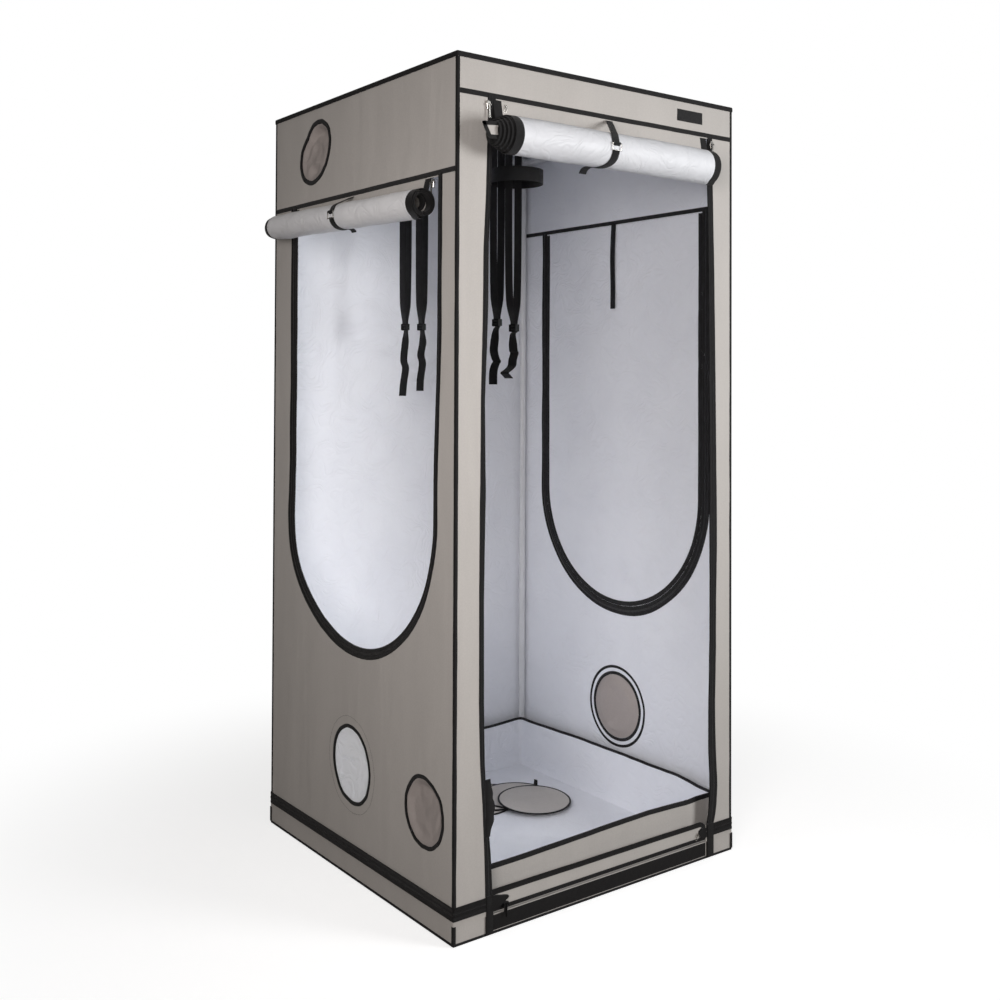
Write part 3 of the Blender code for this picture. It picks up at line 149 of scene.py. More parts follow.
class Nodes:
    """Short way to add and link the nodes of one material."""

    def __init__(self, name):
        self.material = bpy.data.materials.new(name)
        self.material.use_nodes = True
        self.tree = self.material.node_tree
        self.shader = self.tree.nodes["Principled BSDF"]
        self.place = -300

    def add(self, kind, settings=(), **values):
        node = self.tree.nodes.new("ShaderNode" + kind)
        node.location = (self.place, 0)
        self.place -= 180
        for key, value in dict(settings).items():
            setattr(node, key, value)
        for key, value in values.items():
            socket = node.inputs[int(key[1:])] if key[1:].isdigit() else node.inputs[key.replace("_", " ")]
            self.put(socket, value)
        return node

    def put(self, socket, value):
        if isinstance(value, bpy.types.NodeSocket):
            self.tree.links.new(value, socket)
        else:
            socket.default_value = value

    def uv(self):
        return self.add("UVMap", {"uv_map": "cloth"}).outputs[0]

    def place_in_space(self):
        return self.add("TexCoord").outputs["Object"]

    def math(self, operation, first, second=0.0, third=0.0):
        return self.add("Math", {"operation": operation}, _0=first, _1=second, _2=third).outputs[0]

    def noise(self, vector, scale, detail=3.0, rough=0.5, distortion=0.0):
        node = self.add("TexNoise", Vector=vector, Scale=scale, Detail=detail, Roughness=rough, Distortion=distortion)
        return node.outputs["Fac"]

    def ramp(self, factor, stops):
        node = self.add("ValToRGB", Fac=factor)
        points = node.color_ramp.elements
        while len(points) < len(stops):
            points.new(0.5)
        for point, (place, colour) in zip(points, stops):
            point.position = place
            point.color = colour if len(colour) == 4 else (*colour, 1.0)
        return node.outputs["Color"]

    def shades(self, factor, colour, low, high):
        """Ramp between two shades of a colour, each given as (place, share)."""
        return self.ramp(factor, [(place, shaded(colour, share)) for place, share in (low, high)])

    def greys(self, factor, low, high):
        """Ramp between two plain values, each given as (place, value)."""
        return self.ramp(factor, [(place, (value,) * 3) for place, value in (low, high)])

    def scaled(self, vector, *scale):
        return self.add("Mapping", Vector=vector, Scale=scale).outputs[0]

    def mix(self, factor, first, second):
        node = self.add("Mix", {"data_type": "RGBA"})
        self.put(node.inputs[0], factor)
        self.put(node.inputs[6], first)
        self.put(node.inputs[7], second)
        return node.outputs[2]

    def bump(self, height, distance, strength):
        return self.add("Bump", Height=height, Distance=distance, Strength=strength).outputs[0]

    def finish(self, **values):
        for key, value in values.items():
            self.put(self.shader.inputs[key.replace("_", " ")], value)
        return self.material


def shaded(colour, share):
    """A colour made lighter or darker."""
    return tuple(min(1.0, channel * share) for channel in colour[:3]) + (1.0,)


def weave(nodes, uv, pitch):
    """Height of a plain weave: warp and weft that pass over each other in turn."""
    split = nodes.add("SeparateXYZ", Vector=uv)
    waves = [nodes.math("SINE", nodes.math("MULTIPLY", split.outputs[axis], pi / pitch)) for axis in (0, 1)]
    both = nodes.math("MULTIPLY", *waves)
    return nodes.math("MULTIPLY_ADD", both, 0.5, 0.5)


def make_canvas(name, colour, seed):
    """Matt coated canvas with a fine weave, faint slubs, soft mottling and painted shade in the hollows of its fold
    bumps.
    """
    nodes = Nodes(name)
    uv = nodes.uv()
    space = nodes.add("Mapping", Vector=nodes.place_in_space(), Location=(seed, seed * 2.3, 0)).outputs[0]
    weft = weave(nodes, uv, 0.0011)
    slub = nodes.noise(nodes.scaled(uv, 30, 700, 1), 1.0, 2.0)
    warp_slub = nodes.noise(nodes.scaled(uv, 700, 30, 1), 1.0, 2.0)
    threads = nodes.math("ADD", slub, warp_slub)
    cloud = nodes.noise(space, 3.2, 4.0, 0.55)
    fine = nodes.noise(space, 46.0, 3.0)
    grain = nodes.noise(space, 210.0, 2.0)
    folds = nodes.noise(nodes.scaled(space, 13, 13, 2.4), 1.0, 3.0, 0.55, 0.4)
    tone = nodes.shades(cloud, colour, (0.3, 0.955), (0.7, 1.035))
    for share, factor, low, high in (
        (0.35, fine, (0.3, 0.93), (0.7, 1.05)),
        (0.3, threads, (0.35, 0.86), (0.65, 1.07)),
        (0.4, grain, (0.34, 0.9), (0.66, 1.09)),
        (0.16, weft, (0.1, 0.7), (0.9, 1.1)),
        # Painted shade: the tone darkens in the hollows of the fold bumps and lightens on their crests.
        (0.3, folds, (0.36, 0.93), (0.64, 1.07)),
    ):
        tone = nodes.mix(share, tone, nodes.shades(factor, colour, low, high))
    height = nodes.math("MULTIPLY_ADD", threads, 0.5, weft)
    height = nodes.math("MULTIPLY_ADD", folds, 16.0, height)
    normal = nodes.bump(height, 0.00026, 0.8)
    rough = nodes.greys(fine, (0.2, 0.8), (0.8, 0.93))
    return nodes.finish(Base_Color=tone, Roughness=rough, Normal=normal, Sheen_Weight=0.06, Specular_IOR_Level=0.32)


def make_lining(name, colour, thin=0.0):
    """White reflective lining: satin, with small soft crinkles pressed into it."""
    nodes = Nodes(name)
    space = nodes.place_in_space()
    warped = nodes.noise(space, 5.0, 2.0)
    warp = nodes.add("CombineXYZ", X=warped, Y=warped, Z=warped).outputs[0]
    shifted = nodes.add("VectorMath", {"operation": "ADD"}, _0=space, _1=warp).outputs[0]
    cells = nodes.add("TexVoronoi", {"feature": "DISTANCE_TO_EDGE"}, Vector=shifted, Scale=16.0, Randomness=1.0)
    small = nodes.add("TexVoronoi", {"feature": "SMOOTH_F1"}, Vector=shifted, Scale=55.0, Smoothness=0.7)
    cloud = nodes.noise(space, 6.0, 4.0)
    tone = nodes.shades(cloud, colour, (0.3, 0.965), (0.7, 1.02))
    crease = nodes.greys(cells.outputs["Distance"], (0.0, 0.0), (0.22, 1.0))
    height = nodes.math("MULTIPLY_ADD", small.outputs["Distance"], 0.3, crease)
    height = nodes.math("MULTIPLY_ADD", cloud, 1.6, height)
    normal = nodes.bump(height, 0.0014, 0.6)
    rough = nodes.greys(cloud, (0.3, 0.42), (0.7, 0.56))
    if thin:
        nodes.finish(Subsurface_Weight=thin, Subsurface_Radius=(1.0, 1.0, 1.0), Subsurface_Scale=0.008)
    return nodes.finish(Base_Color=tone, Roughness=rough, Normal=normal, Specular_IOR_Level=0.4)


def make_webbing(name, colour, pitch, depth, rough=0.72):
    """Black woven tape with fine ribs across it."""
    nodes = Nodes(name)
    split = nodes.add("SeparateXYZ", Vector=nodes.uv())
    ribs = nodes.math("SINE", nodes.math("MULTIPLY", split.outputs[0], tau / pitch))
    lines = nodes.math("SINE", nodes.math("MULTIPLY", split.outputs[1], tau / (pitch * 1.3)))
    cross = nodes.math("MULTIPLY", ribs, lines)
    cloud = nodes.noise(nodes.place_in_space(), 60.0, 3.0)
    tone = nodes.shades(cloud, colour, (0.3, 0.75), (0.7, 1.35))
    ribbed = nodes.shades(nodes.math("MULTIPLY_ADD", ribs, 0.5, 0.5), colour, (0.2, 0.5), (0.8, 1.6))
    tone = nodes.mix(0.35, tone, ribbed)
    normal = nodes.bump(nodes.math("MULTIPLY_ADD", cross, 0.4, ribs), depth, 0.8)
    gloss = nodes.greys(cloud, (0.3, rough - 0.06), (0.7, rough + 0.08))
    return nodes.finish(Base_Color=tone, Roughness=gloss, Normal=normal, Sheen_Weight=0.08, Specular_IOR_Level=0.35)


def make_metal(name, colour, rough):
    """Plated metal with faint polishing marks."""
    nodes = Nodes(name)
    space = nodes.place_in_space()
    marks = nodes.noise(nodes.scaled(space, 1, 1, 8), 420.0, 2.0)
    cloud = nodes.noise(space, 90.0, 3.0)
    tone = nodes.shades(cloud, colour, (0.3, 0.93), (0.7, 1.04))
    gloss = nodes.greys(cloud, (0.2, rough * 0.8), (0.8, rough * 1.35))
    return nodes.finish(Base_Color=tone, Roughness=gloss, Metallic=1.0, Normal=nodes.bump(marks, 0.00004, 0.5))


def make_solid(name, colour, rough, grain, coat=0.0, shine=0.5):
    """Powder coat or moulded plastic with its fine surface grain."""
    nodes = Nodes(name)
    space = nodes.place_in_space()
    peel = nodes.noise(space, grain, 2.0)
    tone = nodes.shades(nodes.noise(space, 14.0, 3.0), colour, (0.3, 0.96), (0.7, 1.03))
    gloss = nodes.greys(peel, (0.3, rough - 0.05), (0.7, rough + 0.07))
    normal = nodes.bump(peel, 0.00005, 0.6)
    return nodes.finish(Base_Color=tone, Roughness=gloss, Normal=normal, Coat_Weight=coat, Specular_IOR_Level=shine)


CANVAS = make_canvas("canvas", linear(203, 198, 193), 0.0)
LABEL = make_webbing("label", linear(19, 18, 19), 0.0009, 0.00012, 0.5)
# Darker, browner copy of the canvas for the port sleeves: partly the sleeve cloth's own tone, partly painted shade of
# their recess.
SHADED_SLEEVE = make_canvas("sleeve_canvas_with_painted_shade", linear(178, 169, 165), 3.0)
LINING = make_lining("lining", linear(245, 247, 254))
# Copy of the lining set a little darker and less blue for the front roll: painted shade.
SHADED_DOOR_LINING = make_lining("door_lining", linear(240, 241, 245))
# Copy of the lining set lighter for the left roll: painted light.
LIT_SIDE_LINING = make_lining("side_door_lining_painted_light", linear(251, 251, 254))
CUFF = make_lining("cuff", linear(249, 250, 255), 1.0)
BINDING = make_webbing("binding", linear(14, 12, 13), 0.0016, 0.0002, 0.66)
WEBBING = make_webbing("webbing", linear(11, 9, 11), 0.0019, 0.00032, 0.62)
COIL = make_webbing("zip_coil", linear(17, 16, 17), 0.0022, 0.0005, 0.42)
THREAD = make_webbing("thread", linear(36, 33, 33), 0.0008, 0.0001, 0.6)
NICKEL = make_metal("nickel", (0.62, 0.6, 0.57, 1.0), 0.2)
COATED = make_solid("coated_steel", linear(226, 227, 230), 0.34, 900.0, 0.25)
MOULDED = make_solid("moulded_white", linear(218, 219, 221), 0.42, 1400.0)
BUCKLE = make_solid("moulded_black", linear(7, 7, 8), 0.5, 1400.0, 0.0, 0.12)


# ---------------------------------------------------------------- mesh helpers

class Shell:
    """Points and faces of one piece, with a material number per face and a UV per corner."""

    def __init__(self):
        self.points, self.faces, self.corners, self.finishes = [], [], [], []

    def point(self, place):
        self.points.append(tuple(place))
        return len(self.points) - 1

    def face(self, ids, uvs, finish=0):
        self.faces.append(tuple(ids))
        self.corners.extend(uvs)
        self.finishes.append(finish)

    def skin(self, rows, loop=True, ring=False, finish=None, caps=True):
        """Cover rows of points with quads. loop closes each row, and ring joins the last row to the first."""
        count = len(rows[0])
        ids = [[self.point(place) for place in row] for row in rows]
        along, across = [0.0], [0.0]
        for before, after in zip(rows, rows[1:] + rows[:1]):
            along.append(along[-1] + (Vector(after[0]) - Vector(before[0])).length)
        middle = rows[len(rows) // 2]
        for before, after in zip(middle, middle[1:] + middle[:1]):
            across.append(across[-1] + (Vector(after) - Vector(before)).length)
        for i in range(len(rows) if ring else len(rows) - 1):
            for j in range(count if loop else count - 1):
                up, over = (i + 1) % len(rows), (j + 1) % count
                corners = (ids[i][j], ids[i][over], ids[up][over], ids[up][j])
                here, there = along[i], along[i + 1]
                uvs = [(here, across[j]), (here, across[j + 1]), (there, across[j + 1]), (there, across[j])]
                self.face(corners, uvs, finish(i, j) if finish else 0)
        if caps and loop and not ring:
            for row, places in ((ids[0], rows[0]), (ids[-1], rows[-1])):
                self.face(row, [(p[0] + p[1], p[2]) for p in places], finish(0, 0) if finish else 0)

    def piece(self, name, finishes, body, slot, smooth=40, node=None):
        """Make the closed object, ride it on its body and hide the CAD node it stands for. The slot is not used."""
        mesh = bpy.data.meshes.new(name)
        mesh.from_pydata(self.points, [], self.faces)
        layer = mesh.uv_layers.new(name="cloth")
        layer.data.foreach_set("uv", [value for corner in self.corners for value in corner])
        mesh.polygons.foreach_set("material_index", self.finishes)
        for finish in finishes:
            mesh.materials.append(finish)
        work = bmesh.new()
        work.from_mesh(mesh)
        bmesh.ops.recalc_face_normals(work, faces=work.faces)
        work.to_mesh(mesh)
        work.free()
        mesh.shade_smooth()
        mesh.set_sharp_from_angle(angle=radians(smooth))
        item = bpy.data.objects.new(name, mesh)
        bpy.context.scene.collection.objects.link(item)
        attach(item, body)
        if node:
            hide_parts(node)
        return item


def plate(shell, outline, low, high, place, finish=0, inset=0.06):
    """Flat piece with a softened upper edge: an outline raised from one height to another."""
    middle = [sum(point[k] for point in outline) / len(outline) for k in (0, 1)]
    drawn = [tuple(a + (m - a) * inset for a, m in zip(point, middle)) for point in outline]
    levels = ((outline, low), (outline, high - (high - low) * 0.3), (drawn, high))
    rows = [[place(u, v, level) for u, v in line] for line, level in levels]
    shell.skin(rows, finish=lambda i, j: finish)


def wire(shell, path, radius, sides=8, closed=False, finish=0):
    """Round wire along a line in space."""
    path = [Vector(point) for point in path]
    count = len(path)
    rows = []
    for index, here in enumerate(path):
        before = path[index - 1] if closed or index else here
        after = path[(index + 1) % count] if closed or index < count - 1 else here
        way = (after - before).normalized()
        side = way.cross(Vector((0.31, 0.23, 0.92))).normalized()
        other = way.cross(side)
        turns = (tau * k / sides for k in range(sides))
        rows.append([here + (side * cos(turn) + other * sin(turn)) * radius for turn in turns])
    shell.skin(rows, ring=closed, finish=lambda i, j: finish)


def ripple(x, y, z):
    """Smooth noise between -1 and 1 at a place."""
    return noise.noise(Vector((x, y, z)))


def smooth_step(value, low, high):
    """0 below low, 1 above high, and a soft rise between."""
    share = min(1.0, max(0.0, (value - low) / (high - low)))
    return share * share * (3 - 2 * share)


WALLS = {
    "front": (lambda u, v, out: (u, -HALF - out, v), 3.1),
    "back": (lambda u, v, out: (u, HALF + out, v), 17.7),
    "left": (lambda u, v, out: (-HALF - out, u, v), 29.3),
    "right": (lambda u, v, out: (HALF + out, u, v), 41.9),
    "roof": (lambda u, v, out: (u, v, TOP + out), 53.5),
}


def relief(wall, u, v):
    """How far the cloth of a wall stands out of its plane at a point."""
    seed = WALLS[wall][1]
    edge = HALF - abs(u)
    if wall == "roof":
        edge = min(edge, HALF - abs(v))
    else:
        edge = min(edge, v - 0.05, WALL_HIGH - v)
    fade = smooth_step(edge, 0.004, 0.07)
    broad = ripple(u * 2.3, v * 1.5, seed)
    drape = ripple(u * 7.5, v * 2.6, seed + 5)
    fine = ripple(u * 17, v * 13, seed + 9)
    fold = abs(ripple(u * 9 + v * 2.5, v * 3.5 - u * 2, seed + 14))
    pucker = 0.0012 * (1 - min(1.0, 7 * fold)) * smooth_step(ripple(u * 3.1, v * 2.2, seed + 20), 0.0, 0.3)
    return fade * (0.0021 * broad + 0.0013 * drape + 0.0006 * fine + pucker)


def on_wall(wall, u, v, out):
    """Place of a point on a wall, given its height above the wall's own cloth."""
    return WALLS[wall][0](u, v, out + relief(wall, u, v))


def arc(centre_u, centre_v, radius, start, end, steps):
    """Points along a round stretch of an outline, angles in degrees."""
    points = []
    for index in range(steps + 1):
        angle = radians(start + (end - start) * index / steps)
        points.append((centre_u + radius * cos(angle), centre_v + radius * sin(angle)))
    return points


def port_line(port, grow=0.0, steps=96):
    """Edge of a port, not quite round, at a distance outside its opening."""
    y, z, radius = port
    wide, tall, slant = PORT_PULL.get(port, (1.0, 1.0, 0.0))
    points = []
    for index in range(steps):
        angle = tau * index / steps
        wobble = 0.0026 * ripple(cos(angle) * 1.6, sin(angle) * 1.6, y * 9 + z)
        wobble += 0.0016 * ripple(cos(angle) * 4.2, sin(angle) * 4.2, y * 7 + z)
        dent = 0.009 * max(0.0, 1 - abs(angle - 0.66) / 0.5) if port == HIGH_PORT else 0.0
        reach = radius + wobble * (radius < 0.1) + grow - dent
        u, v = wide * reach * cos(angle), tall * reach * sin(angle)
        points.append((y + u + slant * v, z + v))
    return points


def rectangle(low_u, low_v, high_u, high_v):
    return [(low_u, low_v), (high_u, low_v), (high_u, high_v), (low_u, high_v)]


def stepped(path, step, closed=False):
    """The same line with points no further apart than a step."""
    points = []
    pairs = list(zip(path, path[1:] + path[:1])) if closed else list(zip(path, path[1:]))
    for start, end in pairs:
        length = hypot(*(b - a for a, b in zip(start, end)))
        count = max(1, int(length / step + 0.999))
        points += [tuple(a + (b - a) * index / count for a, b in zip(start, end)) for index in range(count)]
    if not closed:
        points.append(tuple(path[-1]))
    return points


def inside(points, loop):
    """Which of the points are inside a closed loop."""
    hit = np.zeros(len(points), dtype=bool)
    for (ua, va), (ub, vb) in zip(loop, loop[1:] + loop[:1]):
        if va == vb:
            continue
        crosses = (points[:, 1] > min(va, vb)) & (points[:, 1] <= max(va, vb))
        where = ua + (points[:, 1] - va) * (ub - ua) / (vb - va)
        hit ^= crosses & (points[:, 0] < where)
    return hit


def loop_distance(points, loop):
    """Distance of each point from a closed loop."""
    best = np.full(len(points), 9.0)
    for start, end in zip(loop, loop[1:] + loop[:1]):
        a = np.array(start)
        d = np.array(end) - a
        share = np.clip(((points - a) @ d) / (d @ d), 0, 1)
        best = np.minimum(best, np.hypot(*(points - a - share[:, None] * d).T))
    return best


def calm(wall, u, v):
    """0 on the tapes and bindings of a wall, rising to 1 away from them."""
    if wall == "front":
        away = min(abs(v - DOOR_TOP - 0.008), abs(abs(u) - DOOR_HALF - 0.015))
    else:
        away = abs(v - ARCH_TOP - 0.008)
    if wall in ("left", "right"):
        y, z, half = ARCHES[wall]
        side = abs(u - y) if v > z else hypot(u - y, v - z)
        if v < ARCH_TOP + 0.02:
            away = min(away, abs(side - half))
        for y, z, radius in WALL_PORTS[wall]:
            away = min(away, abs(hypot(u - y, v - z) - radius))
    return smooth_step(away, 0.034, 0.08)


def crinkle(wall, u, v, depth):
    """How far the lining stands off the canvas at a point: soft crossing creases."""
    depth *= calm(wall, u, v)
    if depth == 0:
        return 0.0
    seed = WALLS[wall][1] + 70
    bend = ripple(u * 5, v * 5, seed) * 0.05
    first = abs(ripple((u + bend) * 19, (v - bend) * 11, seed + 3))
    second = abs(ripple((u - bend) * 9, (v + bend) * 23, seed + 8))
    return depth * (1.0 - min(1.0, 2.2 * min(first, second)) ) * 0.7 + depth * 0.6 * abs(ripple(u * 31, v * 27, seed))


def panel(name, wall, outline, holes, cell, body="tent", depth=0.0, node=None):
    """Cloth panel of a wall with openings cut in it: canvas outside, lining inside, bound rims."""
    loops = [stepped(outline, cell, closed=True)] + [stepped(hole, cell, closed=True) for hole in holes]
    flat, edges = [], []
    for loop in loops:
        first = len(flat)
        flat += loop
        edges += [(first + i, first + (i + 1) % len(loop)) for i in range(len(loop))]
    low = np.min(np.array(loops[0]), axis=0)
    high = np.max(np.array(loops[0]), axis=0)
    counts = np.maximum(1, ((high - low) / cell).astype(int))
    us = low[0] + (np.arange(counts[0]) + 0.5) * (high[0] - low[0]) / counts[0]
    vs = low[1] + (np.arange(counts[1]) + 0.5) * (high[1] - low[1]) / counts[1]
    grid = np.array([(u + (0.25 * cell if row % 2 else -0.25 * cell), v) for row, v in enumerate(vs) for u in us])
    keep = inside(grid, loops[0]) & (loop_distance(grid, loops[0]) > cell * 0.5)
    for loop in loops[1:]:
        keep &= ~inside(grid, loop) & (loop_distance(grid, loop) > cell * 0.5)
    flat += [tuple(point) for point in grid[keep]]
    result = delaunay_2d_cdt([Vector(point) for point in flat], edges, [], 0, 1e-7)
    spots, faces = result[0], result[2]
    centres = np.array([[sum(spots[i][k] for i in face) / len(face) for k in (0, 1)] for face in faces])
    good = inside(centres, loops[0])
    for loop in loops[1:]:
        good &= ~inside(centres, loop)
    shell = Shell()
    place = WALLS[wall][0]
    outer, inner = [], []
    for u, v in spots:
        out = relief(wall, u, v)
        outer.append(shell.point(place(u, v, out)))
        inner.append(shell.point(place(u, v, out - CLOTH - crinkle(wall, u, v, depth))))
    used = {}
    for face, fine in zip(faces, good):
        if not fine:
            continue
        face = list(face)
        uvs = [tuple(spots[i]) for i in face]
        shell.face([outer[i] for i in face], uvs, 0)
        shell.face([inner[i] for i in reversed(face)], list(reversed(uvs)), 1)
        for a, b in zip(face, face[1:] + face[:1]):
            used[(a, b)] = True
    for a, b in used:
        if (b, a) not in used:
            uvs = [tuple(spots[a]), tuple(spots[b]), tuple(spots[b]), tuple(spots[a])]
            shell.face([outer[b], outer[a], inner[a], inner[b]], uvs, 2)
    return shell.piece(name, [CANVAS, LINING, BINDING], body, "cover_cloth", 60, node)


def across_of(path, closed):
    """Unit direction across a path at each of its points, stretched at its corners."""
    result = []
    count = len(path)
    for index in range(count):
        before = path[index - 1] if closed or index else path[0]
        after = path[(index + 1) % count] if closed or index < count - 1 else path[-1]
        here = path[index]
        first = Vector((here[0] - before[0], here[1] - before[1]))
        last = Vector((after[0] - here[0], after[1] - here[1]))
        first = first if first.length > 1e-9 else last
        last = last if last.length > 1e-9 else first
        mean = (first.normalized() + last.normalized()).normalized()
        stretch = 1 / max(0.5, mean.dot(last.normalized()))
        result.append((mean.y * stretch, -mean.x * stretch))
    return result


def wall_band(shell, wall, path, section, closed=False, face=1, step=0.03, finish=None, width=None):
    """Sweep a section of (across, height) points along a path on a wall, outside (1) or inside (-1)."""
    path = stepped(path, step, closed)
    rows = []
    for (u, v), (mu, mv) in zip(path, across_of(path, closed)):
        row = []
        share = width(u, v) if width else 1.0
        for a, h in section:
            at_u, at_v = u + mu * a * share, v + mv * a * share
            out = h if face > 0 else -CLOTH - h
            row.append(on_wall(wall, at_u, at_v, out))
        rows.append(row)
    shell.skin(rows, ring=closed, finish=finish)


def flat_section(width, height, sunk=0.0008, edge=0.0007, start=0.0):
    """Section of a tape: thin, with soft edges."""
    return [
        (start, -sunk), (start, height * 0.55), (start + edge, height),
        (start + width - edge, height), (start + width, height * 0.55), (start + width, -sunk),
    ]


def zip_section(width):
    """Section of a covered zip: a bound edge on each side and the coil in the middle."""
    middle = width / 2
    bound = 0.009
    half = [(0, -0.0008), (0, 0.0008), (0.0008, 0.0012), (bound - 0.001, 0.0012), (bound, 0.0006),
        (middle - 0.0042, 0.0006), (middle - 0.0034, 0.0011), (middle - 0.0012, 0.0014)]
    return half + [(width - a, h) for a, h in reversed(half)]


STITCH_SPOTS = ((-0.5, 0, 0), (0.5, 0, 0), (0, -0.5, 0), (0, 0.5, 0), (0, 0, 1), (0, 0, -1))
STITCH_FACES = ((0, 2, 4), (2, 1, 4), (1, 3, 4), (3, 0, 4), (2, 0, 5), (1, 2, 5), (3, 1, 5), (0, 3, 5))


def stitch(shell, place):
    """One stitch as an eight-sided grain. place turns (along, side, up) shares of its size into a point."""
    ids = [shell.point(place(*spot)) for spot in STITCH_SPOTS]
    for corners in STITCH_FACES:
        shell.face([ids[k] for k in corners], [(0, 0), (0.001, 0), (0, 0.001)])


def stitch_row(shell, wall, path, height, closed=False, face=1, length=STITCH_LENGTH, width=STITCH_WIDTH, offset=0.0):
    """Row of short stitches along a path on a wall."""
    points = stepped(path, STITCH_PITCH, closed)
    directions = across_of(points, closed)
    out = height if face > 0 else -CLOTH - height
    for (u, v), (mu, mv) in list(zip(points, directions))[:None if closed else -1]:
        u, v = u + mu * offset, v + mv * offset
        size = hypot(mu, mv)
        tu, tv = -mv / size, mu / size

        def place(along, side, up):
            at_u = u + tu * along * length + mu / size * side * width
            at_v = v + tv * along * length + mv / size * side * width
            return on_wall(wall, at_u, at_v, out + up * width * 0.4 * face)
        stitch(shell, place)


# ---------------------------------------------------------------- cover

FRONT_EDGES = {
    -1: (
        (0.0985, 0.3825, 0.404), (0.123, 0.3829, 0.4042), (0.199, 0.3872, 0.4062), (0.326, 0.3995, 0.4129),
        (0.427, 0.407, 0.421), (0.579, 0.4106, 0.4258), (0.833, 0.4118, 0.4264), (0.934, 0.4102, 0.4257),
        (1.086, 0.4078, 0.4254), (1.212, 0.4095, 0.4237), (1.339, 0.4115, 0.4236), (1.567, 0.403, 0.4192),
        (1.719, 0.402, 0.4182), (1.871, 0.3967, 0.4103), (2.05, 0.389, 0.4065), (2.11, 0.38, 0.4075),
    ),
    1: (
        (0.0985, 0.3985, 0.4255), (0.135, 0.4062, 0.4365), (0.208, 0.4108, 0.4417), (0.31, 0.4057, 0.4345),
        (0.456, 0.4053, 0.4311), (0.7476, 0.41, 0.4353), (0.9226, 0.41, 0.4395), (1.185, 0.4087, 0.4353),
        (1.331, 0.4066, 0.4328), (1.6226, 0.4023, 0.426), (1.768, 0.4002, 0.4226), (2.06, 0.397, 0.4171),
        (2.11, 0.396, 0.416),
    ),
}


def front_edge(side, v):
    """Inner and outer edge of the front doorway's tape at a height."""
    knots = FRONT_EDGES[side]
    heights = [knot[0] for knot in knots]
    return [side * float(np.interp(v, heights, [knot[k] for knot in knots])) for k in (1, 2)]


def doorway_sway(u, v):
    """Slight waviness of the long edges of the left doorway."""
    away = smooth_step(v, 1.05, 1.2)
    if u < 0:
        return away * (0.004 * ripple(v * 6, 2.0, 3.0) - 0.013 * smooth_step(v, 1.12, 1.5))
    bulge = 0.024 * smooth_step(u, 0.08, 0.32) * 2.718 ** -(((v - 0.82) / 0.16) ** 2)
    return bulge + away * 0.004 * ripple(v * 6, 8.0, 3.0)


def arch_line(wall, half, top, steps=40):
    """Open line down one side of a doorway, round its foot and up the other side."""
    y, z, _ = ARCHES[wall]
    line = stepped([(y - half, top), (y - half, z)], 0.05)[:-1] + arc(y, z, half, 180, 360, steps)
    line += stepped([(y + half, z), (y + half, top)], 0.05)[1:]
    if wall == "left":
        line = [(u + doorway_sway(u, v), v) for u, v in line]
    return line


def sill_edge(half):
    """Upper edge of the sill from its rounded right end to the left."""
    return arc(half - SILL_ROUND, SILL_EDGE - SILL_ROUND, SILL_ROUND, 0, 90, 8) + [(-half, SILL_EDGE)]


def make_front():
    """Front wall: header, two columns and a sill, cut apart as they are sewn."""
    edge = HALF - PANEL_INSET
    header = panel("front_header", "front", rectangle(-edge, DOOR_TOP, edge, WALL_HIGH), [], 0.02, node="front_wall")
    for side, name in ((-1, "left"), (1, "right")):
        doorway = [(side * DOOR_HALF, WALL_LOW), (side * DOOR_HALF, 0.097)]
        heights = [FRONT_LOW + 0.02 * k for k in range(100)] + [DOOR_TOP]
        doorway += [(front_edge(side, v)[0], v) for v in heights]
        outline = (doorway + [(side * edge, DOOR_TOP), (side * edge, WALL_LOW)])[::-side]
        column = panel(f"front_column_{name}", "front", outline, [], 0.018)
    half = DOOR_HALF
    sill_outline = [(-half, WALL_LOW), (half, WALL_LOW)] + sill_edge(half)
    sill = panel("front_sill", "front", sill_outline, [], 0.014)


def make_walls():
    """Left, right and back walls."""
    blank = rectangle(-SIDE_REACH, WALL_LOW, SIDE_REACH, WALL_HIGH)
    holes = {wall: arch_line(wall, ARCHES[wall][2], ARCH_TOP) for wall in ARCHES}
    ports = [port_line(port) for port in WALL_PORTS["left"]]
    port_area = sum(pi * port[2] ** 2 for port in WALL_PORTS["left"])
    left = panel("left_panel", "left", blank, [holes["left"]] + ports, 0.019, depth=0.0009, node="left_wall")
    right = panel("right_panel", "right", blank, [holes["right"], ports[0]], 0.015, depth=0.0012, node="right_wall")
    edge = HALF - PANEL_INSET
    outline = rectangle(-edge, WALL_LOW, edge, WALL_HIGH)
    back = panel("back_panel", "back", outline, [], 0.015, depth=0.0012, node="back_wall")


def make_right_door():
    """Closed side door with its own half of the zip round the edge."""
    half, top = ARCH_HALF - GAP, ARCH_TOP - GAP
    outline = arch_line("right", half, top)
    door = panel("right_door_panel", "right", outline, [], 0.013, "right_side_door", 0.0016, "right_door")
    shell, thread = Shell(), Shell()
    width = ARCH_STRIP / 2
    line = arch_line("right", half, top - 0.001)
    section = flat_section(-width, TAPE_HIGH, edge=-0.0012, start=-0.0004)
    for face in (1, -1):
        wall_band(shell, "right", line, section, face=face)
        stitch_row(thread, "right", line, TAPE_HIGH, face=face, offset=-width + 0.002)
    shell.piece("right_door_tape", [BINDING], "right_side_door", "webbing")
    thread.piece("right_door_stitches", [THREAD], "right_side_door", "webbing")


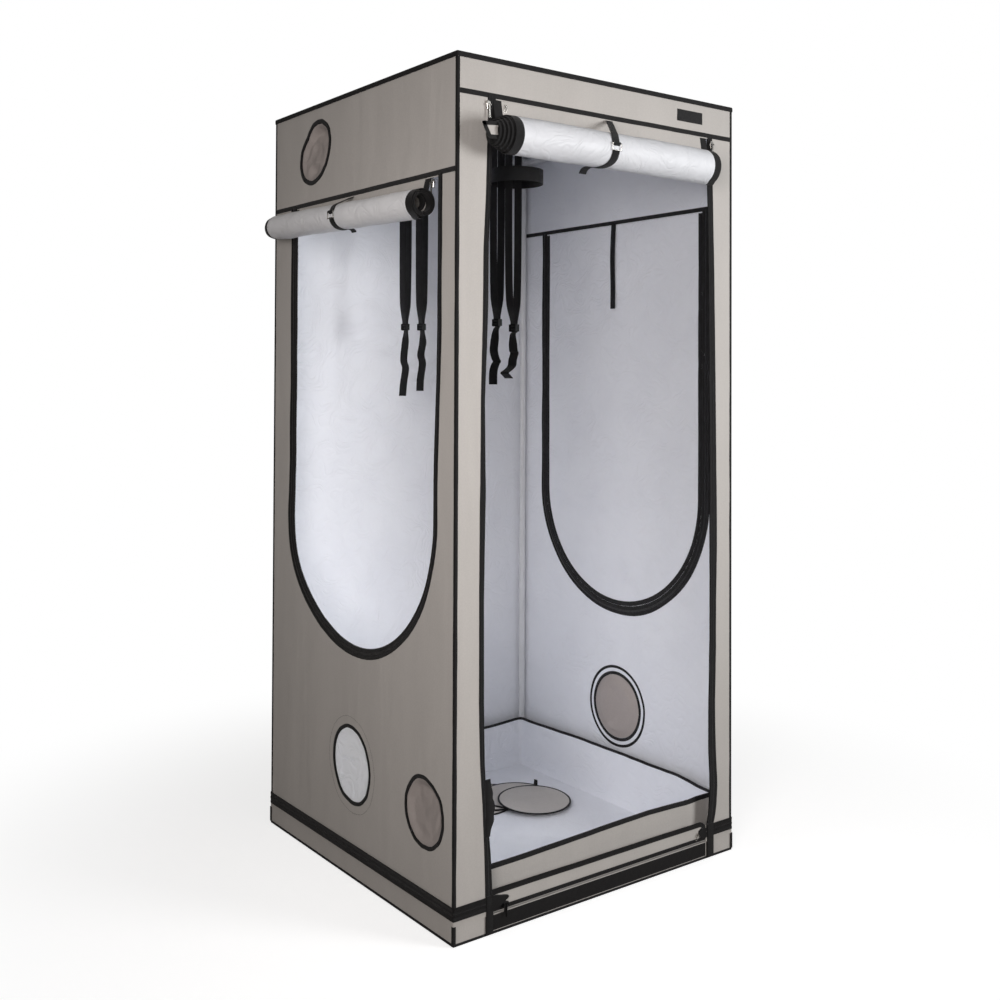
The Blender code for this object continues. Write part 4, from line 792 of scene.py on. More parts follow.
def make_seam(wall, seam_low, thread):
    """Taped seam under a wall's header, outside and inside, with two rows of stitches."""
    seams = Shell()
    tape = flat_section(-SEAM_TAPE, 0.001, start=-SEAM_WIDTH + SEAM_TAPE)
    for face, reach in ((1, HALF - 0.0045), (-1, SIDE_REACH - 0.004)):
        wall_band(seams, wall, [(-reach, seam_low), (reach, seam_low)], tape, face=face)
        for line in (SEAM_WIDTH - SEAM_TAPE + 0.002, SEAM_WIDTH - 0.0022):
            stitch_row(thread, wall, [(-reach, seam_low + line), (reach, seam_low + line)], 0.001, face=face)
    seams.piece(f"{wall}_header_seam", [BINDING], "tent", "webbing")


def zip_finish(i, j):
    """Coil in the middle of a covered zip, binding beside it."""
    return 1 if 6 <= j <= 8 else 0


def front_tapes(bands, thread, strip_top):
    """Zip tapes along both edges of the front doorway, with a padded foot each."""
    for side, foot_edge, wide in ((-1, DOOR_HALF - 0.0083, 0.0212), (1, DOOR_HALF + 0.005, 0.0258)):
        line = [(front_edge(side, v)[0], v) for v in np.linspace(FRONT_LOW, strip_top, 80)]

        def strip_width(u, v, side=side):
            inner_edge, outer_edge = front_edge(side, v)
            return abs(outer_edge - inner_edge) / FRONT_STRIP
        section = [(side * a, h) for a, h in zip_section(FRONT_STRIP)]
        wall_band(bands, "front", line, section, finish=zip_finish, width=strip_width)
        inner = flat_section(side * FRONT_STRIP, 0.0011, edge=side * 0.0012)
        wall_band(bands, "front", line, inner, face=-1)
        for face in (1, -1):
            stitch_row(thread, "front", line, 0.0012, face=face, offset=side * 0.002)
        foot = [(side * foot_edge, 0.0035), (side * foot_edge, 0.0988)]
        tall = [(0, -0.0008), (0, 0.0048), (0.0012, 0.0056), (wide - 0.0012, 0.0056), (wide, 0.0048), (wide, -0.0008)]
        wall_band(bands, "front", foot, [(side * a, h) for a, h in tall], step=0.02)
        for offset in (0.0032, wide - 0.0032):
            stitch_row(thread, "front", foot, 0.0056, offset=side * offset)


def side_tapes(wall, bands, thread, strip_top):
    """Zip tape round a side doorway and the bindings of the wall's ports."""
    line = arch_line(wall, ARCHES[wall][2], strip_top, 48)

    def arch_width(u, v):
        uneven = ripple(u * 7, v * 7, 2.0)
        if wall == "right":
            return 1.05 - 0.2 * smooth_step(u, -0.2, 0.3) + 0.12 * uneven
        back = smooth_step(u, -0.3, 0.3)
        return 0.6 + 0.25 * (1 - smooth_step(v, 0.66, 0.95)) * (1 - back) + 0.65 * back + 0.08 * uneven
    for face in (1, -1):
        wall_band(bands, wall, line, zip_section(ARCH_STRIP), face=face, finish=zip_finish, width=arch_width)
        stitch_row(thread, wall, line, 0.0012, face=face, offset=0.002)
    for port in WALL_PORTS[wall]:
        rim = port_line(port)
        wide = 0.0138 if port == HIGH_PORT else 0.0102
        for face in (1, -1):
            binding = flat_section(wide, 0.0018, edge=0.0026)
            wall_band(bands, wall, rim, binding, closed=True, face=face, step=0.02)
            stitch_row(thread, wall, port_line(port, 0.0082), 0.0016, closed=True, face=face)
            if wall == "right" or port == OPEN_PORT:
                grow = 0.0315 if port == OPEN_PORT and face > 0 else 0.0215
                round_port = port_line(port, grow)
                stitch_row(thread, wall, round_port, 0.0004, closed=True, face=face, width=0.0012, length=0.0036)
        wall_band(bands, wall, port_line(port, 0.0215), flat_section(0.0085, 0.0012), closed=True, face=-1, step=0.02)


def make_tapes():
    """Zip tapes, header seams and port bindings of the walls with doors, with their stitches."""
    for wall, seam_low in (("front", DOOR_TOP + 0.001), ("left", ARCH_TOP + 0.001), ("right", ARCH_TOP + 0.001)):
        bands, thread = Shell(), Shell()
        make_seam(wall, seam_low, thread)
        strip_top = seam_low + SEAM_WIDTH / 2
        if wall == "front":
            front_tapes(bands, thread, strip_top)
        else:
            side_tapes(wall, bands, thread, strip_top)
        bands.piece(f"{wall}_zip_tape", [BINDING, COIL], "tent", "webbing")
        thread.piece(f"{wall}_stitches", [THREAD], "tent", "webbing")


def make_piping():
    """Black binding round the four upright corners."""
    leg, proud = 0.0072, 0.0015
    section = [
        (leg, 0.0003), (leg, -0.0008), (leg - 0.001, -proud), (0.0008, -proud - 0.0001), (-0.0009, -0.0009),
        (-proud - 0.0001, 0.0008), (-proud, leg - 0.001), (-0.0008, leg), (0.0003, leg), (0.0003, 0.0003),
    ]
    shell = Shell()
    for side_x in (-1, 1):
        for side_y in (-1, 1):
            rows = []
            for index in range(61):
                z = WALL_LOW + GAP + (2.1925 - WALL_LOW) * index / 60
                wobble = 0.0011 * ripple(side_x * 3, side_y * 5, z * 9)
                rows.append([
                    (side_x * (HALF - p - (wobble if p > 0.002 else 0)),
                     side_y * (HALF - q - (wobble if q > 0.002 else 0)), z)
                    for p, q in section
                ])
            shell.skin(rows)
            rows = []
            for z in (0.0062, 0.02, 0.035, 0.05):
                rows.append([(side_x * (HALF + 0.0024 - p), side_y * (HALF + 0.0024 - q), z) for p, q in section])
            shell.skin(rows)
    shell.piece("corner_piping", [BINDING], "tent", "webbing", smooth=50)


def turned(u, v, angle):
    return u * cos(angle) - v * sin(angle), u * sin(angle) + v * cos(angle)


def ring_line(offset, z, radius, step=0.04):
    """Closed level line round the tent at a distance outside its walls, with rounded corners."""
    half = HALF + offset
    radius = max(radius, 0.0004)
    points = []
    for turn in range(4):
        points += [turned(u, v, turn * pi / 2) for u, v in arc(half - radius, half - radius, radius, 0, 90, 5)]
    line = []
    for index, (start, end) in enumerate(zip(points, points[1:] + points[:1])):
        count = round(1 / step) if index % 6 == 5 else 1
        for k in range(count):
            line.append((start[0] + (end[0] - start[0]) * k / count, start[1] + (end[1] - start[1]) * k / count, z))
    return line


def rings_piece(name, rings, finishes, slot, finish=None, open_ends=False, node=None):
    """Closed piece through level rings of (offset, height): a solid with ends, or a band joined into itself."""
    shell = Shell()
    rows = [ring_line(offset, z, 0.001 + (offset if offset > 0 else 0)) for offset, z in rings]
    shell.skin(rows, ring=not open_ends, finish=finish)
    return shell.piece(name, finishes, "tent", slot, node=node)


def make_roof():
    """Roof sheet with its hem folded down over the walls."""
    edge = HALF - 0.0006
    roof = panel("roof_sheet", "roof", rectangle(-edge, -edge, edge, edge), [], 0.022, node="roof_panel")
    hem = [
        (0.0004, 2.1934), (0.0024, 2.1928), (0.0036, 2.1936), (0.0039, 2.2), (0.0033, 2.2052), (0.0014, 2.2068),
        (-0.0045, 2.2064), (-0.0062, 2.2045), (-0.0066, 2.2012), (-0.002, 2.2006), (0.0004, 2.199),
    ]
    rings_piece("roof_hem", hem, [BINDING], "webbing")
    thread = Shell()
    for turn in range(4):
        for z, out in ((2.1958, 0.0037), (2.2035, 0.0036)):
            for index in range(int(0.99 / STITCH_PITCH)):
                start = -0.495 + index * STITCH_PITCH

                def place(along, side, up):
                    u, v = turned(start + along * STITCH_LENGTH, -HALF - out - up * 0.0003, turn * pi / 2)
                    return u, v, z + side * STITCH_WIDTH
                stitch(thread, place)
    thread.piece("roof_stitches", [THREAD], "tent", "webbing")


def make_base():
    """Ground sheet with its skirt, and the bottom binding."""
    rings = [
        (-CLOTH, CLOTH), (-CLOTH, 0.03), (-CLOTH, 0.0475), (-0.001, 0.0485), (0.0, 0.0478), (0.0, 0.03), (0.0, 0.0001),
    ]
    base = rings_piece(
        "base_sheet", rings, [CANVAS, LINING], "cover_cloth", lambda i, j: 1 if i < 2 else 0, True, "base_tub"
    )
    bead = [(-0.0002, 0.0003), (0.0012, 0.0), (0.0023, 0.0007), (0.0023, 0.0055), (0.0015, 0.0063), (-0.0002, 0.0064)]
    rings_piece("base_binding", bead, [BINDING], "webbing")


def make_zip_flap():
    """Flap over the level zip that joins walls and base, open at the front doorway."""
    section = [
        (-0.0004, 0.0486), (-0.0004, 0.0518), (0.0014, 0.0526), (0.0016, 0.0735), (0.0016, 0.0952), (0.0026, 0.0962),
        (0.0037, 0.0955), (0.0038, 0.0895), (0.0033, 0.089), (0.0033, 0.0815), (0.0041, 0.0805), (0.0041, 0.0765),
        (0.0033, 0.0755), (0.0033, 0.0685), (0.0038, 0.068), (0.0038, 0.0622), (0.0028, 0.0614), (0.0026, 0.061),
        (0.0026, 0.0492), (0.0016, 0.0484),
    ]
    loops = [ring_line(offset, z, 0.0012 + max(0.0, offset)) for offset, z in section]
    doorway = [k for k, (x, y, z) in enumerate(loops[0]) if y < -0.49 and abs(x) < DOOR_HALF + 0.004]
    order = [*range(doorway[-1] + 1, len(loops[0])), *range(doorway[0])]
    rows = [[loop[k] for loop in loops] for k in order]
    ends = (DOOR_HALF + 0.0005, -DOOR_HALF - 0.0005)
    first, last = ([(x, -HALF - offset, z) for offset, z in section] for x in ends)
    shell = Shell()
    shell.skin([first] + rows + [last], finish=lambda i, j: 1 if 9 <= j <= 11 else 2 if j >= 16 or j == 0 else 0)
    shell.piece("base_zip_flap", [BINDING, COIL, CANVAS], "tent", "webbing", smooth=50)


def make_sill():
    """Bands across the sill, its bound upper edge and the loose flap at its left end."""
    band, thread = Shell(), Shell()
    half = DOOR_HALF - GAP
    wall_band(band, "front", [(-half, 0.0095), (half, 0.0095)], flat_section(-0.0365, 0.0013, sunk=0.0004))
    wall_band(band, "front", [(-half, 0.0552), (half, 0.0552)], flat_section(-0.0095, 0.0011))
    rise = [(half, 0.07)] + sill_edge(half)
    for face in (1, -1):
        wall_band(band, "front", rise, flat_section(-0.0112, TAPE_HIGH), face=face)
        stitch_row(thread, "front", rise, TAPE_HIGH, face=face, offset=-0.009)
    flap = [
        (-0.393, 0.0985), (-0.386, 0.0998), (-0.381, 0.0962), (-0.368, 0.0945), (-0.353, 0.0905), (-0.3435, 0.0892),
        (-0.3345, 0.0868),
        (-0.3325, 0.0835), (-0.3365, 0.0795), (-0.3425, 0.0772), (-0.3445, 0.0685), (-0.36, 0.0655), (-0.393, 0.0575),
    ]

    def curled(u, v, out):
        return on_wall("front", u, v, out + 0.03 * max(0.0, u + 0.372))
    plate(band, flap, -0.0005, 0.0056, curled, inset=0.03)
    band.piece("sill_bands", [BINDING], "tent", "webbing")
    for z in (0.0125, 0.0435, 0.0575, 0.0625):
        stitch_row(thread, "front", [(-half, z), (half, z)], 0.0013)
    thread.piece("sill_stitches", [THREAD], "tent", "webbing")


def sleeve(name, wall, port, node, seed, cloths, depth=0.011, groove=None, slack=1.0):
    """Cloth drawn shut in a port: slack, a little behind the wall, with soft creases or a broken level groove."""
    y, z, radius = port
    steps, rings = 120, 22
    edge = port_line(port, -GAP, steps)

    def creased(u, v):
        soft = 0.003 * ripple(u * 16, v * 7, seed) + 0.002 * ripple(u * 34, v * 22, seed + 4)
        line = abs(ripple(u * 12 + v * 5, v * 9 - u * 3, seed + 9))
        return soft - 0.0028 * (1 - min(1.0, 5 * line)), 0.0

    def grooved(u, v):
        soft = 0.0012 * ripple(u * 9, v * 5, seed) - 0.0016 * max(0.0, 1 - abs(u - y + 0.028) / 0.004)
        broken = smooth_step(ripple(u * 30, 0.0, seed), -0.3, 0.0)
        return soft, 0.006 * broken * max(0.0, 1 - abs(v - groove + 0.12 * (u - y)) / 0.0045)

    def spot(share, step, back):
        u, v = edge[step % steps]
        u, v = u + (y - u) * share, v + (z - v) * share
        sag = smooth_step(share, 0.0, 0.3)
        uneven, deeper = creased(u, v) if groove is None else grooved(u, v)
        sunk = 0.0008 + sag * (depth + 0.4 * depth * (v - z) / radius + slack * uneven) + sag * deeper
        return WALLS[wall][0](u, v, relief(wall, u, v) - max(0.0006, sunk) - back)

    shell = Shell()
    behind = 0.0012
    for back, finish in ((0.0, 0), (behind, 1)):
        rows = [[spot(ring / rings, step, back) for step in range(steps)] for ring in range(rings)]
        shell.skin(rows, caps=False, finish=lambda i, j: finish)
    half = len(shell.points) // 2
    for step in range(steps):
        follow = (step + 1) % steps
        shell.face((step, follow, half + follow, half + step), [(0, 0), (0.01, 0), (0.01, 0.001), (0, 0.001)])
    for back, base, finish in ((0.0, half - steps, 0), (behind, 2 * half - steps, 1)):
        centre = shell.point(spot(1.0, 0, back))
        for step in range(steps):
            shell.face((base + step, base + (step + 1) % steps, centre), [(0, 0), (0.005, 0), (0, 0.005)], finish)
    piece = shell.piece(name, cloths, "tent", "cover_cloth", 70, node)


# ---------------------------------------------------------------- frame

def make_tubes():
    """Posts and rails as thin round tubes."""
    socket = 0.0177 + GAP
    reach = FRAME_EDGE - socket
    sides = (("front", "left", -FRAME_EDGE), ("back", "right", FRAME_EDGE))
    lines = {}
    for _, x_name, x in sides:
        for y_name, _, y in sides:
            lines[f"post_{y_name}_{x_name}"] = ((x, y, FRAME_LOW + socket), (x, y, FRAME_HIGH - socket))
    for level, z in (("bottom", FRAME_LOW), ("top", FRAME_HIGH)):
        for y_name, _, edge in sides:
            lines[f"{level}_rail_{y_name}"] = ((-reach, edge, z), (reach, edge, z))
        for _, x_name, edge in sides:
            lines[f"{level}_rail_{x_name}"] = ((edge, -reach, z), (edge, reach, z))
    inner, bevel, facets = TUBE_RADIUS - TUBE_WALL, 0.0005, 36
    for node, (start, end) in lines.items():
        start, end = Vector(start), Vector(end)
        length = (end - start).length
        axis = (end - start).normalized()
        side = axis.orthogonal().normalized()
        other = axis.cross(side)
        profile = [(inner, 0), (TUBE_RADIUS - bevel, 0), (TUBE_RADIUS, bevel), (TUBE_RADIUS, length / 2),
                   (TUBE_RADIUS, length - bevel), (TUBE_RADIUS - bevel, length), (inner, length)]
        rows = []
        for step in range(facets):
            way = side * cos(tau * step / facets) + other * sin(tau * step / facets)
            rows.append([start + axis * along + way * radius for radius, along in profile])
        shell = Shell()
        shell.skin(rows, ring=True)
        shell.piece(f"tube_{node}", [COATED], "tent", "coated_steel", 35, node)


def dress_rigid_nodes():
    """Give the CAD nodes that stay their finishes."""
    finishes = {
        "connector_": MOULDED, "ceiling_bar_": COATED, "ladder_lock_": BUCKLE,
        "front_roll_ring": NICKEL, "left_roll_ring": NICKEL, "zip_": NICKEL, "sill_": BUCKLE,
        "zip_slider_sill": BUCKLE,
    }
    for name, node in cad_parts.items():
        for start, finish in finishes.items():
            if name.startswith(start):
                for holder in node.material_slots:
                    holder.material = finish


# ---------------------------------------------------------------- rolled doors

DOOR_CLOTH = 0.0016
ROLL_PITCH = 0.0042
ROLL_CORE = 0.0095
ROLL_STANDOFF = 0.018
STRAP_LIFT = 0.0006
FRONT_STRAP_X = -0.073
LEFT_STRAP_Y = -0.03
FRONT_ROLL = (DOOR_TOP, 0.0495, 2.0005)
LEFT_ROLL = (ARCH_TOP, 0.038, 1.8415)
LEFT_RISE = 0.0265


def on_front(out, up, along):
    return (along, -HALF - out, up)


def on_left(out, up, along):
    return (-HALF - out, along, up)


def tangent_angle(point, centre, radius, side):
    """Angle at which a line from a point touches a circle."""
    out, up = point[0] - centre[0], point[1] - centre[1]
    return atan2(up, out) + side * acos(radius / hypot(out, up))


def winding(seam_z, radius, roll_z):
    """Start of a door's cloth, middle of its roll, reach of its outer turn and where it touches."""
    start = (-DOOR_CLOTH / 2, seam_z - GAP)
    centre = (ROLL_STANDOFF + radius, roll_z)
    reach = radius - DOOR_CLOTH / 2
    return start, centre, reach, tangent_angle(start, centre, reach, 1)


def wound_reach(reach, first, angle):
    return reach - ROLL_PITCH * ((angle - first) / tau % 1)


def run_of(points):
    """Length of a line up to each of its points."""
    run = [0.0]
    for before, after in zip(points, points[1:]):
        run.append(run[-1] + hypot(*(b - a for a, b in zip(before, after))))
    return run


def door_stations(roll, opening, ends, shift, shift_turns, foot):
    """Cross lines of a wound door: middle of the cloth, its two edges, weight of the free hang, turn and angle."""
    seam_z, radius, roll_z = roll
    start, centre, reach, first = winding(seam_z, radius, roll_z)
    touch = (centre[0] + reach * cos(first), centre[1] + reach * sin(first))
    stations = []
    hang = 8
    for index in range(hang):
        share = index / hang
        middle = (start[0] + (touch[0] - start[0]) * share, start[1] + (touch[1] - start[1]) * share)
        stations.append((middle, opening, max(0.0, (share - 0.22) / 0.78), -1.0, 0.0))
    steps = 40
    turns = (reach - ROLL_CORE) / ROLL_PITCH
    for index in range(int(turns * steps) + 1):
        turn = index / steps
        angle = first + tau * turn
        wound = reach - ROLL_PITCH * turn
        spread = min(1.0, turn / 0.3)
        move = -shift * min(turn, shift_turns)
        edges = tuple(a + (b - a) * spread + move for a, b in zip(opening, ends))
        stations.append(((centre[0] + wound * cos(angle), centre[1] + wound * sin(angle)), edges, 1.0, turn, angle))
    if foot:
        run = run_of([station[0] for station in stations])
        for index, (middle, (low, high), *rest) in enumerate(stations):
            left_over = foot - min(foot, run[-1] - run[index])
            share = max(0.1, (1 - (left_over / foot) ** 2) ** 0.5)
            mid, half = (low + high) / 2, (high - low) / 2 * share
            stations[index] = (middle, (mid - half, mid + half), *rest)
    return stations, centre


def door_wave(along, turn, angle, weight, strap, seed):
    """How far the door's cloth stands off its roll at a point: drawn tight at the strap, loose in the outer turn."""
    broad = ripple(along * 7, cos(angle) * 1.4, sin(angle) * 1.4 + seed)
    if turn < 0:
        return 0.0012 * weight * broad
    wave = 0.0006 * broad
    if turn < 1.0:
        free = smooth_step(abs(along - strap), 0.013, 0.06)
        grow = free * (1 - smooth_step(turn, 0.86, 1.0)) * smooth_step(turn, 0.02, 0.2)
        drag = ripple(along * 16 + turn * 4.5, turn * 2.2, seed + 3)
        small = ripple(along * 38 - turn * 6, turn * 7, seed + 6)
        wave += grow * (0.0011 + 0.0017 * drag + 0.0007 * small)
    return wave


def rolled_door(side, place, lining, roll, opening, ends, shift, shift_turns, rise, strap, seed, foot, lean):
    """Door cloth that hangs from its seam and is wound into a roll, with its zip tape at both ends."""
    stations, centre = door_stations(roll, opening, ends, shift, shift_turns, foot)
    cells, tape = 40, 0.026
    rows = []
    for index, (middle, (low, high), weight, turn, angle) in enumerate(stations):
        before = stations[max(index - 1, 0)][0]
        after = stations[min(index + 1, len(stations) - 1)][0]
        run, up = after[0] - before[0], after[1] - before[1]
        size = hypot(run, up)
        normal = (up / size, -run / size)
        width = high - low - 2 * tape
        spots = [low, low + tape, *(low + tape + width * k / cells for k in range(1, cells)), high - tape, high]
        faces = ([], [])
        for along in spots:
            wave = door_wave(along, turn, angle, weight, strap, seed)
            tuck = 1 - 0.13 * smooth_step(along, ends[1] - 0.03, ends[1] + 0.004) if foot and turn >= 0 else 1.0
            for face, row in zip((1, -1), faces):
                off = face * DOOR_CLOTH / 2 + wave
                out, height = (c + (m + n * off - c) * tuck for c, m, n in zip(centre, middle, normal))
                out -= weight * lean * smooth_step(along, 0.05, ends[1])
                row.append(place(out, height + weight * rise * along, along))
        rows.append(faces[0] + faces[1][::-1])
    shell = Shell()
    count = cells + 3
    taped = (0, count - 2, count - 1, count, 2 * count - 2, 2 * count - 1)
    shell.skin(rows, finish=lambda i, j: 1 if j in taped else 0 if j < count else 2)
    finishes = [lining, BINDING, CANVAS]
    return shell.piece(f"{side}_door", finishes, f"{side}_roll", "lining", 60, f"{side}_door_roll")


def strap_rows(path, low, high, thickness, place):
    """Rows of a strap: flat webbing with rounded edges, its middle line in a plane."""
    rows = []
    r = thickness / 2
    for index, (u, v) in enumerate(path):
        before = path[max(index - 1, 0)]
        after = path[min(index + 1, len(path) - 1)]
        run, rise = after[0] - before[0], after[1] - before[1]
        size = hypot(run, rise)
        nu, nv = -rise / size, run / size
        lo, hi = (low[index], high[index]) if isinstance(low, list) else (low, high)
        over = [
            (lo, 0), (lo + 0.35 * r, 0.8 * r), (lo + 1.3 * r, r), ((lo + hi) / 2, r),
            (hi - 1.3 * r, r), (hi - 0.35 * r, 0.8 * r), (hi, 0),
        ]
        under = [(along, -h) for along, h in over[-2:0:-1]]
        rows.append([place(u + nu * h, v + nv * h, along) for along, h in over + under])
    return rows


def strap_piece(name, path, low, high, thickness, place, body, node=None, cloth=None):
    """Whole strap as one piece."""
    shell = Shell()
    shell.skin(strap_rows(path, low, high, thickness, place))
    return shell.piece(name, [cloth or WEBBING], body, "webbing", 50, node)


def smooth_path(points, steps):
    """Smooth curve through given points in a plane."""
    knots = [Vector(point) for point in [points[0], *points, points[-1]]]
    path = []
    for before, start, end, after in zip(knots, knots[1:], knots[2:], knots[3:]):
        leave = start + (end - before) / 6
        arrive = end - (after - start) / 6
        path += [tuple(point) for point in interpolate_bezier(start, leave, arrive, end, steps + 1)[:-1]]
    path.append(tuple(points[-1]))
    return path


def roll_strap(side, place, roll, along, seam_along, tail_along, tail):
    """Strap from the seam over a rolled door, with the keeper of its ring."""
    seam_z, radius, roll_z = roll
    _, centre, reach, touch = winding(seam_z, radius, roll_z)
    lift = DOOR_CLOTH / 2 + STRAP_LIFT + WEB / 2
    start = (0.001 + WEB, seam_z - WEB)
    first = tangent_angle(start, centre, reach - ROLL_PITCH + lift, -1)
    last = radians(-112)
    path, cut = [start], [0, 0]
    count = 108
    for index in range(count + 1):
        angle = first + (last - first) * index / count
        hold = wound_reach(reach, touch, angle) + lift
        path.append((centre[0] + hold * cos(angle), centre[1] + hold * sin(angle)))
        for end, limit in enumerate((13, -9)):
            if angle > radians(limit):
                cut[end] = len(path)
    heading = last - pi / 2
    knots = [path[-1]]
    for bend in (20, 34, 29):
        heading += radians(bend)
        knots.append((knots[-1][0] + tail * cos(heading), knots[-1][1] + tail * sin(heading)))
    path += smooth_path(knots, 4)[1:]
    run = run_of(path)
    middle = []
    for reached in run:
        above = 1 - smooth_step(reached, 0.0, run[cut[0]])
        below = smooth_step(reached, run[cut[1]] + 0.02, run[-1])
        middle.append(along + (seam_along - along) * above + (tail_along - along) * below)
    shell = Shell()
    for low, high in ((0, cut[0]), (cut[1], len(path))):
        left, right = ([value + edge for value in middle[low:high]] for edge in (-WEB_WIDTH / 2, WEB_WIDTH / 2))
        shell.skin(strap_rows(path[low:high], left, right, WEB, place))
    root = centre[0] + wound_reach(reach, touch, 0.0) + lift
    inner, low_end = root + 0.0012, root - WEB / 2
    out = root + WEB / 2 + 0.0038 + GAP
    bar, grip = roll_z + 0.0092, 0.0025 + GAP
    keeper = [
        (low_end, bar + grip + 0.002), (inner, bar + grip), (out - 0.0009, bar + grip), (out, bar + grip / 2),
        (out, bar - grip / 2), (out - 0.0009, bar - grip), (inner, bar - grip), (low_end, bar - grip - 0.003),
    ]
    shell.skin(strap_rows(smooth_path(keeper, 3), along - 0.011, along + 0.011, 0.0011, place))
    shell.piece(f"{side}_strap", [WEBBING], f"{side}_roll", "webbing", 50, f"{side}_roll_strap")


def make_rolls():
    """Both rolled doors with their straps."""
    half = DOOR_HALF - GAP
    door = rolled_door("front", on_front, SHADED_DOOR_LINING, FRONT_ROLL, (-half, half), (-0.399, 0.342),
                       0.0095, 4.4, 0.0, FRONT_STRAP_X, 2.0, 0.0, 0.008)
    half = ARCH_HALF - GAP
    door = rolled_door("left", on_left, LIT_SIDE_LINING, LEFT_ROLL, (ARCH_Y - half, ARCH_Y + half), (-0.435, 0.412),
                       0.0, 6, LEFT_RISE, LEFT_STRAP_Y, 8.0, ARCH_HALF, 0.009)
    roll_strap("front", on_front, FRONT_ROLL, FRONT_STRAP_X, 0.004, FRONT_STRAP_X - 0.036, 0.0113)
    seam_z, radius, roll_z = LEFT_ROLL
    roll = (seam_z, radius, roll_z + LEFT_RISE * LEFT_STRAP_Y)
    roll_strap("left", on_left, roll, LEFT_STRAP_Y, LEFT_STRAP_Y + 0.045, LEFT_STRAP_Y - 0.012, 0.0062)


# ---------------------------------------------------------------- webbing inside

WEB_SPREAD = 0.0031
STRAND_DROPS = (0.0, 0.12, 0.26, 0.5, 0.62, 0.74, 0.85, 0.93, 1.0)
STRAND_SHARES = (0.0, 0.7, 1.0, 1.02, 1.0, 0.95, 0.84, 0.62, 0.0)
LOCK_HALF = 0.011


def strand_line(join, wide):
    """One strand from the bar's side, with its belly, to where it meets the other strand."""
    over = TUBE_RADIUS + GAP + WEB / 2
    points = []
    for drop, share in zip(STRAND_DROPS, STRAND_SHARES):
        top = over if drop < 0.2 else WEB_SPREAD
        points.append((top + (wide - top) * share, FRAME_HIGH - join * drop))
    return smooth_path(points, 6)


# Name, body, y, height of the lock, length of the tail, width of both strands, and the tail's kinks
HANGING_STRAPS = (
    ("front_a", "front_sling", -0.194, 1.553, 0.177, (0.0138, 0.0134),
     ((0.06, -0.0067), (0.23, -0.0107), (0.415, -0.0139), (0.55, -0.0078), (0.605, -0.0028), (0.66, -0.0088),
     (0.785, -0.0153), (1.0, -0.016))),
    ("front_b", "front_sling", -0.274, 1.535, 0.141, (0.0205, 0.0126),
     ((0.05, -0.007), (0.2, -0.0072), (0.4, -0.0049), (0.46, -0.0015), (0.6, -0.0074), (0.73, -0.0103),
     (0.81, -0.0211), (0.885, -0.0355),
      (0.94, -0.029), (1.0, -0.0204))),
    ("back_a", "back_strap_a", 0.2, 1.553, 0.2, (0.0113, 0.0113),
     ((0.2, 0.002), (0.4, -0.005), (0.55, 0.001), (0.8, -0.006), (1.0, -0.008))),
    ("back_b", "back_strap_b", 0.295, 1.556, 0.22, (0.0113, 0.0113),
     ((0.2, -0.003), (0.45, -0.008), (0.58, -0.001), (0.8, -0.008), (1.0, -0.012))),
)


def make_hanging_straps():
    """Webbing looped over the left bar: two strands to a ladder lock, then one kinked tail."""
    for name, body, y, lock_z, tail, wide, kinks in HANGING_STRAPS:
        foot = lock_z - LOCK_HALF
        join = FRAME_HIGH - lock_z - 0.017
        inner_side, outer_side = (strand_line(join, reach) + [(WEB_SPREAD, foot)] for reach in wide)
        loop = arc(0.0, FRAME_HIGH, outer_side[0][0], 180, 0, 24)
        path = [(-u, v) for u, v in reversed(inner_side)][:-1] + loop + outer_side[1:]
        drops = [(WEB_SPREAD, foot)]
        drops += [(WEB_SPREAD + kink, foot - (tail - LOCK_HALF) * drop) for drop, kink in kinks]
        path = stepped(path + smooth_path(drops, 6)[1:], 0.02)

        def place(u, v, along):
            twist = 0.42 * smooth_step(foot - v, 0.0, 0.04)
            twist += 0.26 * smooth_step(v, foot + 0.03, foot + 0.09) * (1 - smooth_step(v, 2.05, 2.14))
            return (u - BAR_X - twist * (along - y), along, v)
        low, high = y - WEB_WIDTH / 2, y + WEB_WIDTH / 2
        strap_piece(f"web_{name}", path, low, high, WEB, place, body, f"hanging_strap_{name}")


def make_belt():
    """Wide belt looped round the two front straps."""
    low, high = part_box("belt")
    steps, turns = 96, 1.12
    path = []
    for index in range(int(steps * turns) + 1):
        turn = index / steps
        radius = 0.077 - 0.0022 * turn
        path.append((radius * cos(pi + tau * turn), radius * sin(pi + tau * turn)))
    us, vs = zip(*path)
    move = (low.x + 0.0008 - min(us), (low.y + high.y) / 2 - (min(vs) + max(vs)) / 2)
    path = [(u + move[0], v + move[1]) for u, v in path]
    strap_piece("wide_belt", path, low.z, high.z, 0.0016, lambda x, y, z: (x, y, z), "front_sling", "belt")


def make_tie():
    """Strap that hangs from the seam inside the right door."""
    top, length, width = ARCH_TOP + 0.008, 0.286, 0.022
    face = HALF - CLOTH - TAPE_HIGH - GAP - WEB / 2
    points = [(face, top), (face, top - SEAM_WIDTH)]
    points += [(face - 0.004 * sway, top - length * drop) for drop, sway in ((0.4, 1.0), (0.75, 0.5), (1.0, 1.0))]
    path = stepped(smooth_path(points, 10), 0.012)
    low = [0.012 - 0.011 + 0.0025 * sin(3.0 * index / len(path)) for index in range(len(path))]
    high = [value + width for value in low]
    strap_piece("door_tie_strap", path, low, high, WEB, lambda x, z, y: (x, y, z), "door_tie", "right_door_tie")


# ---------------------------------------------------------------- tray and covers

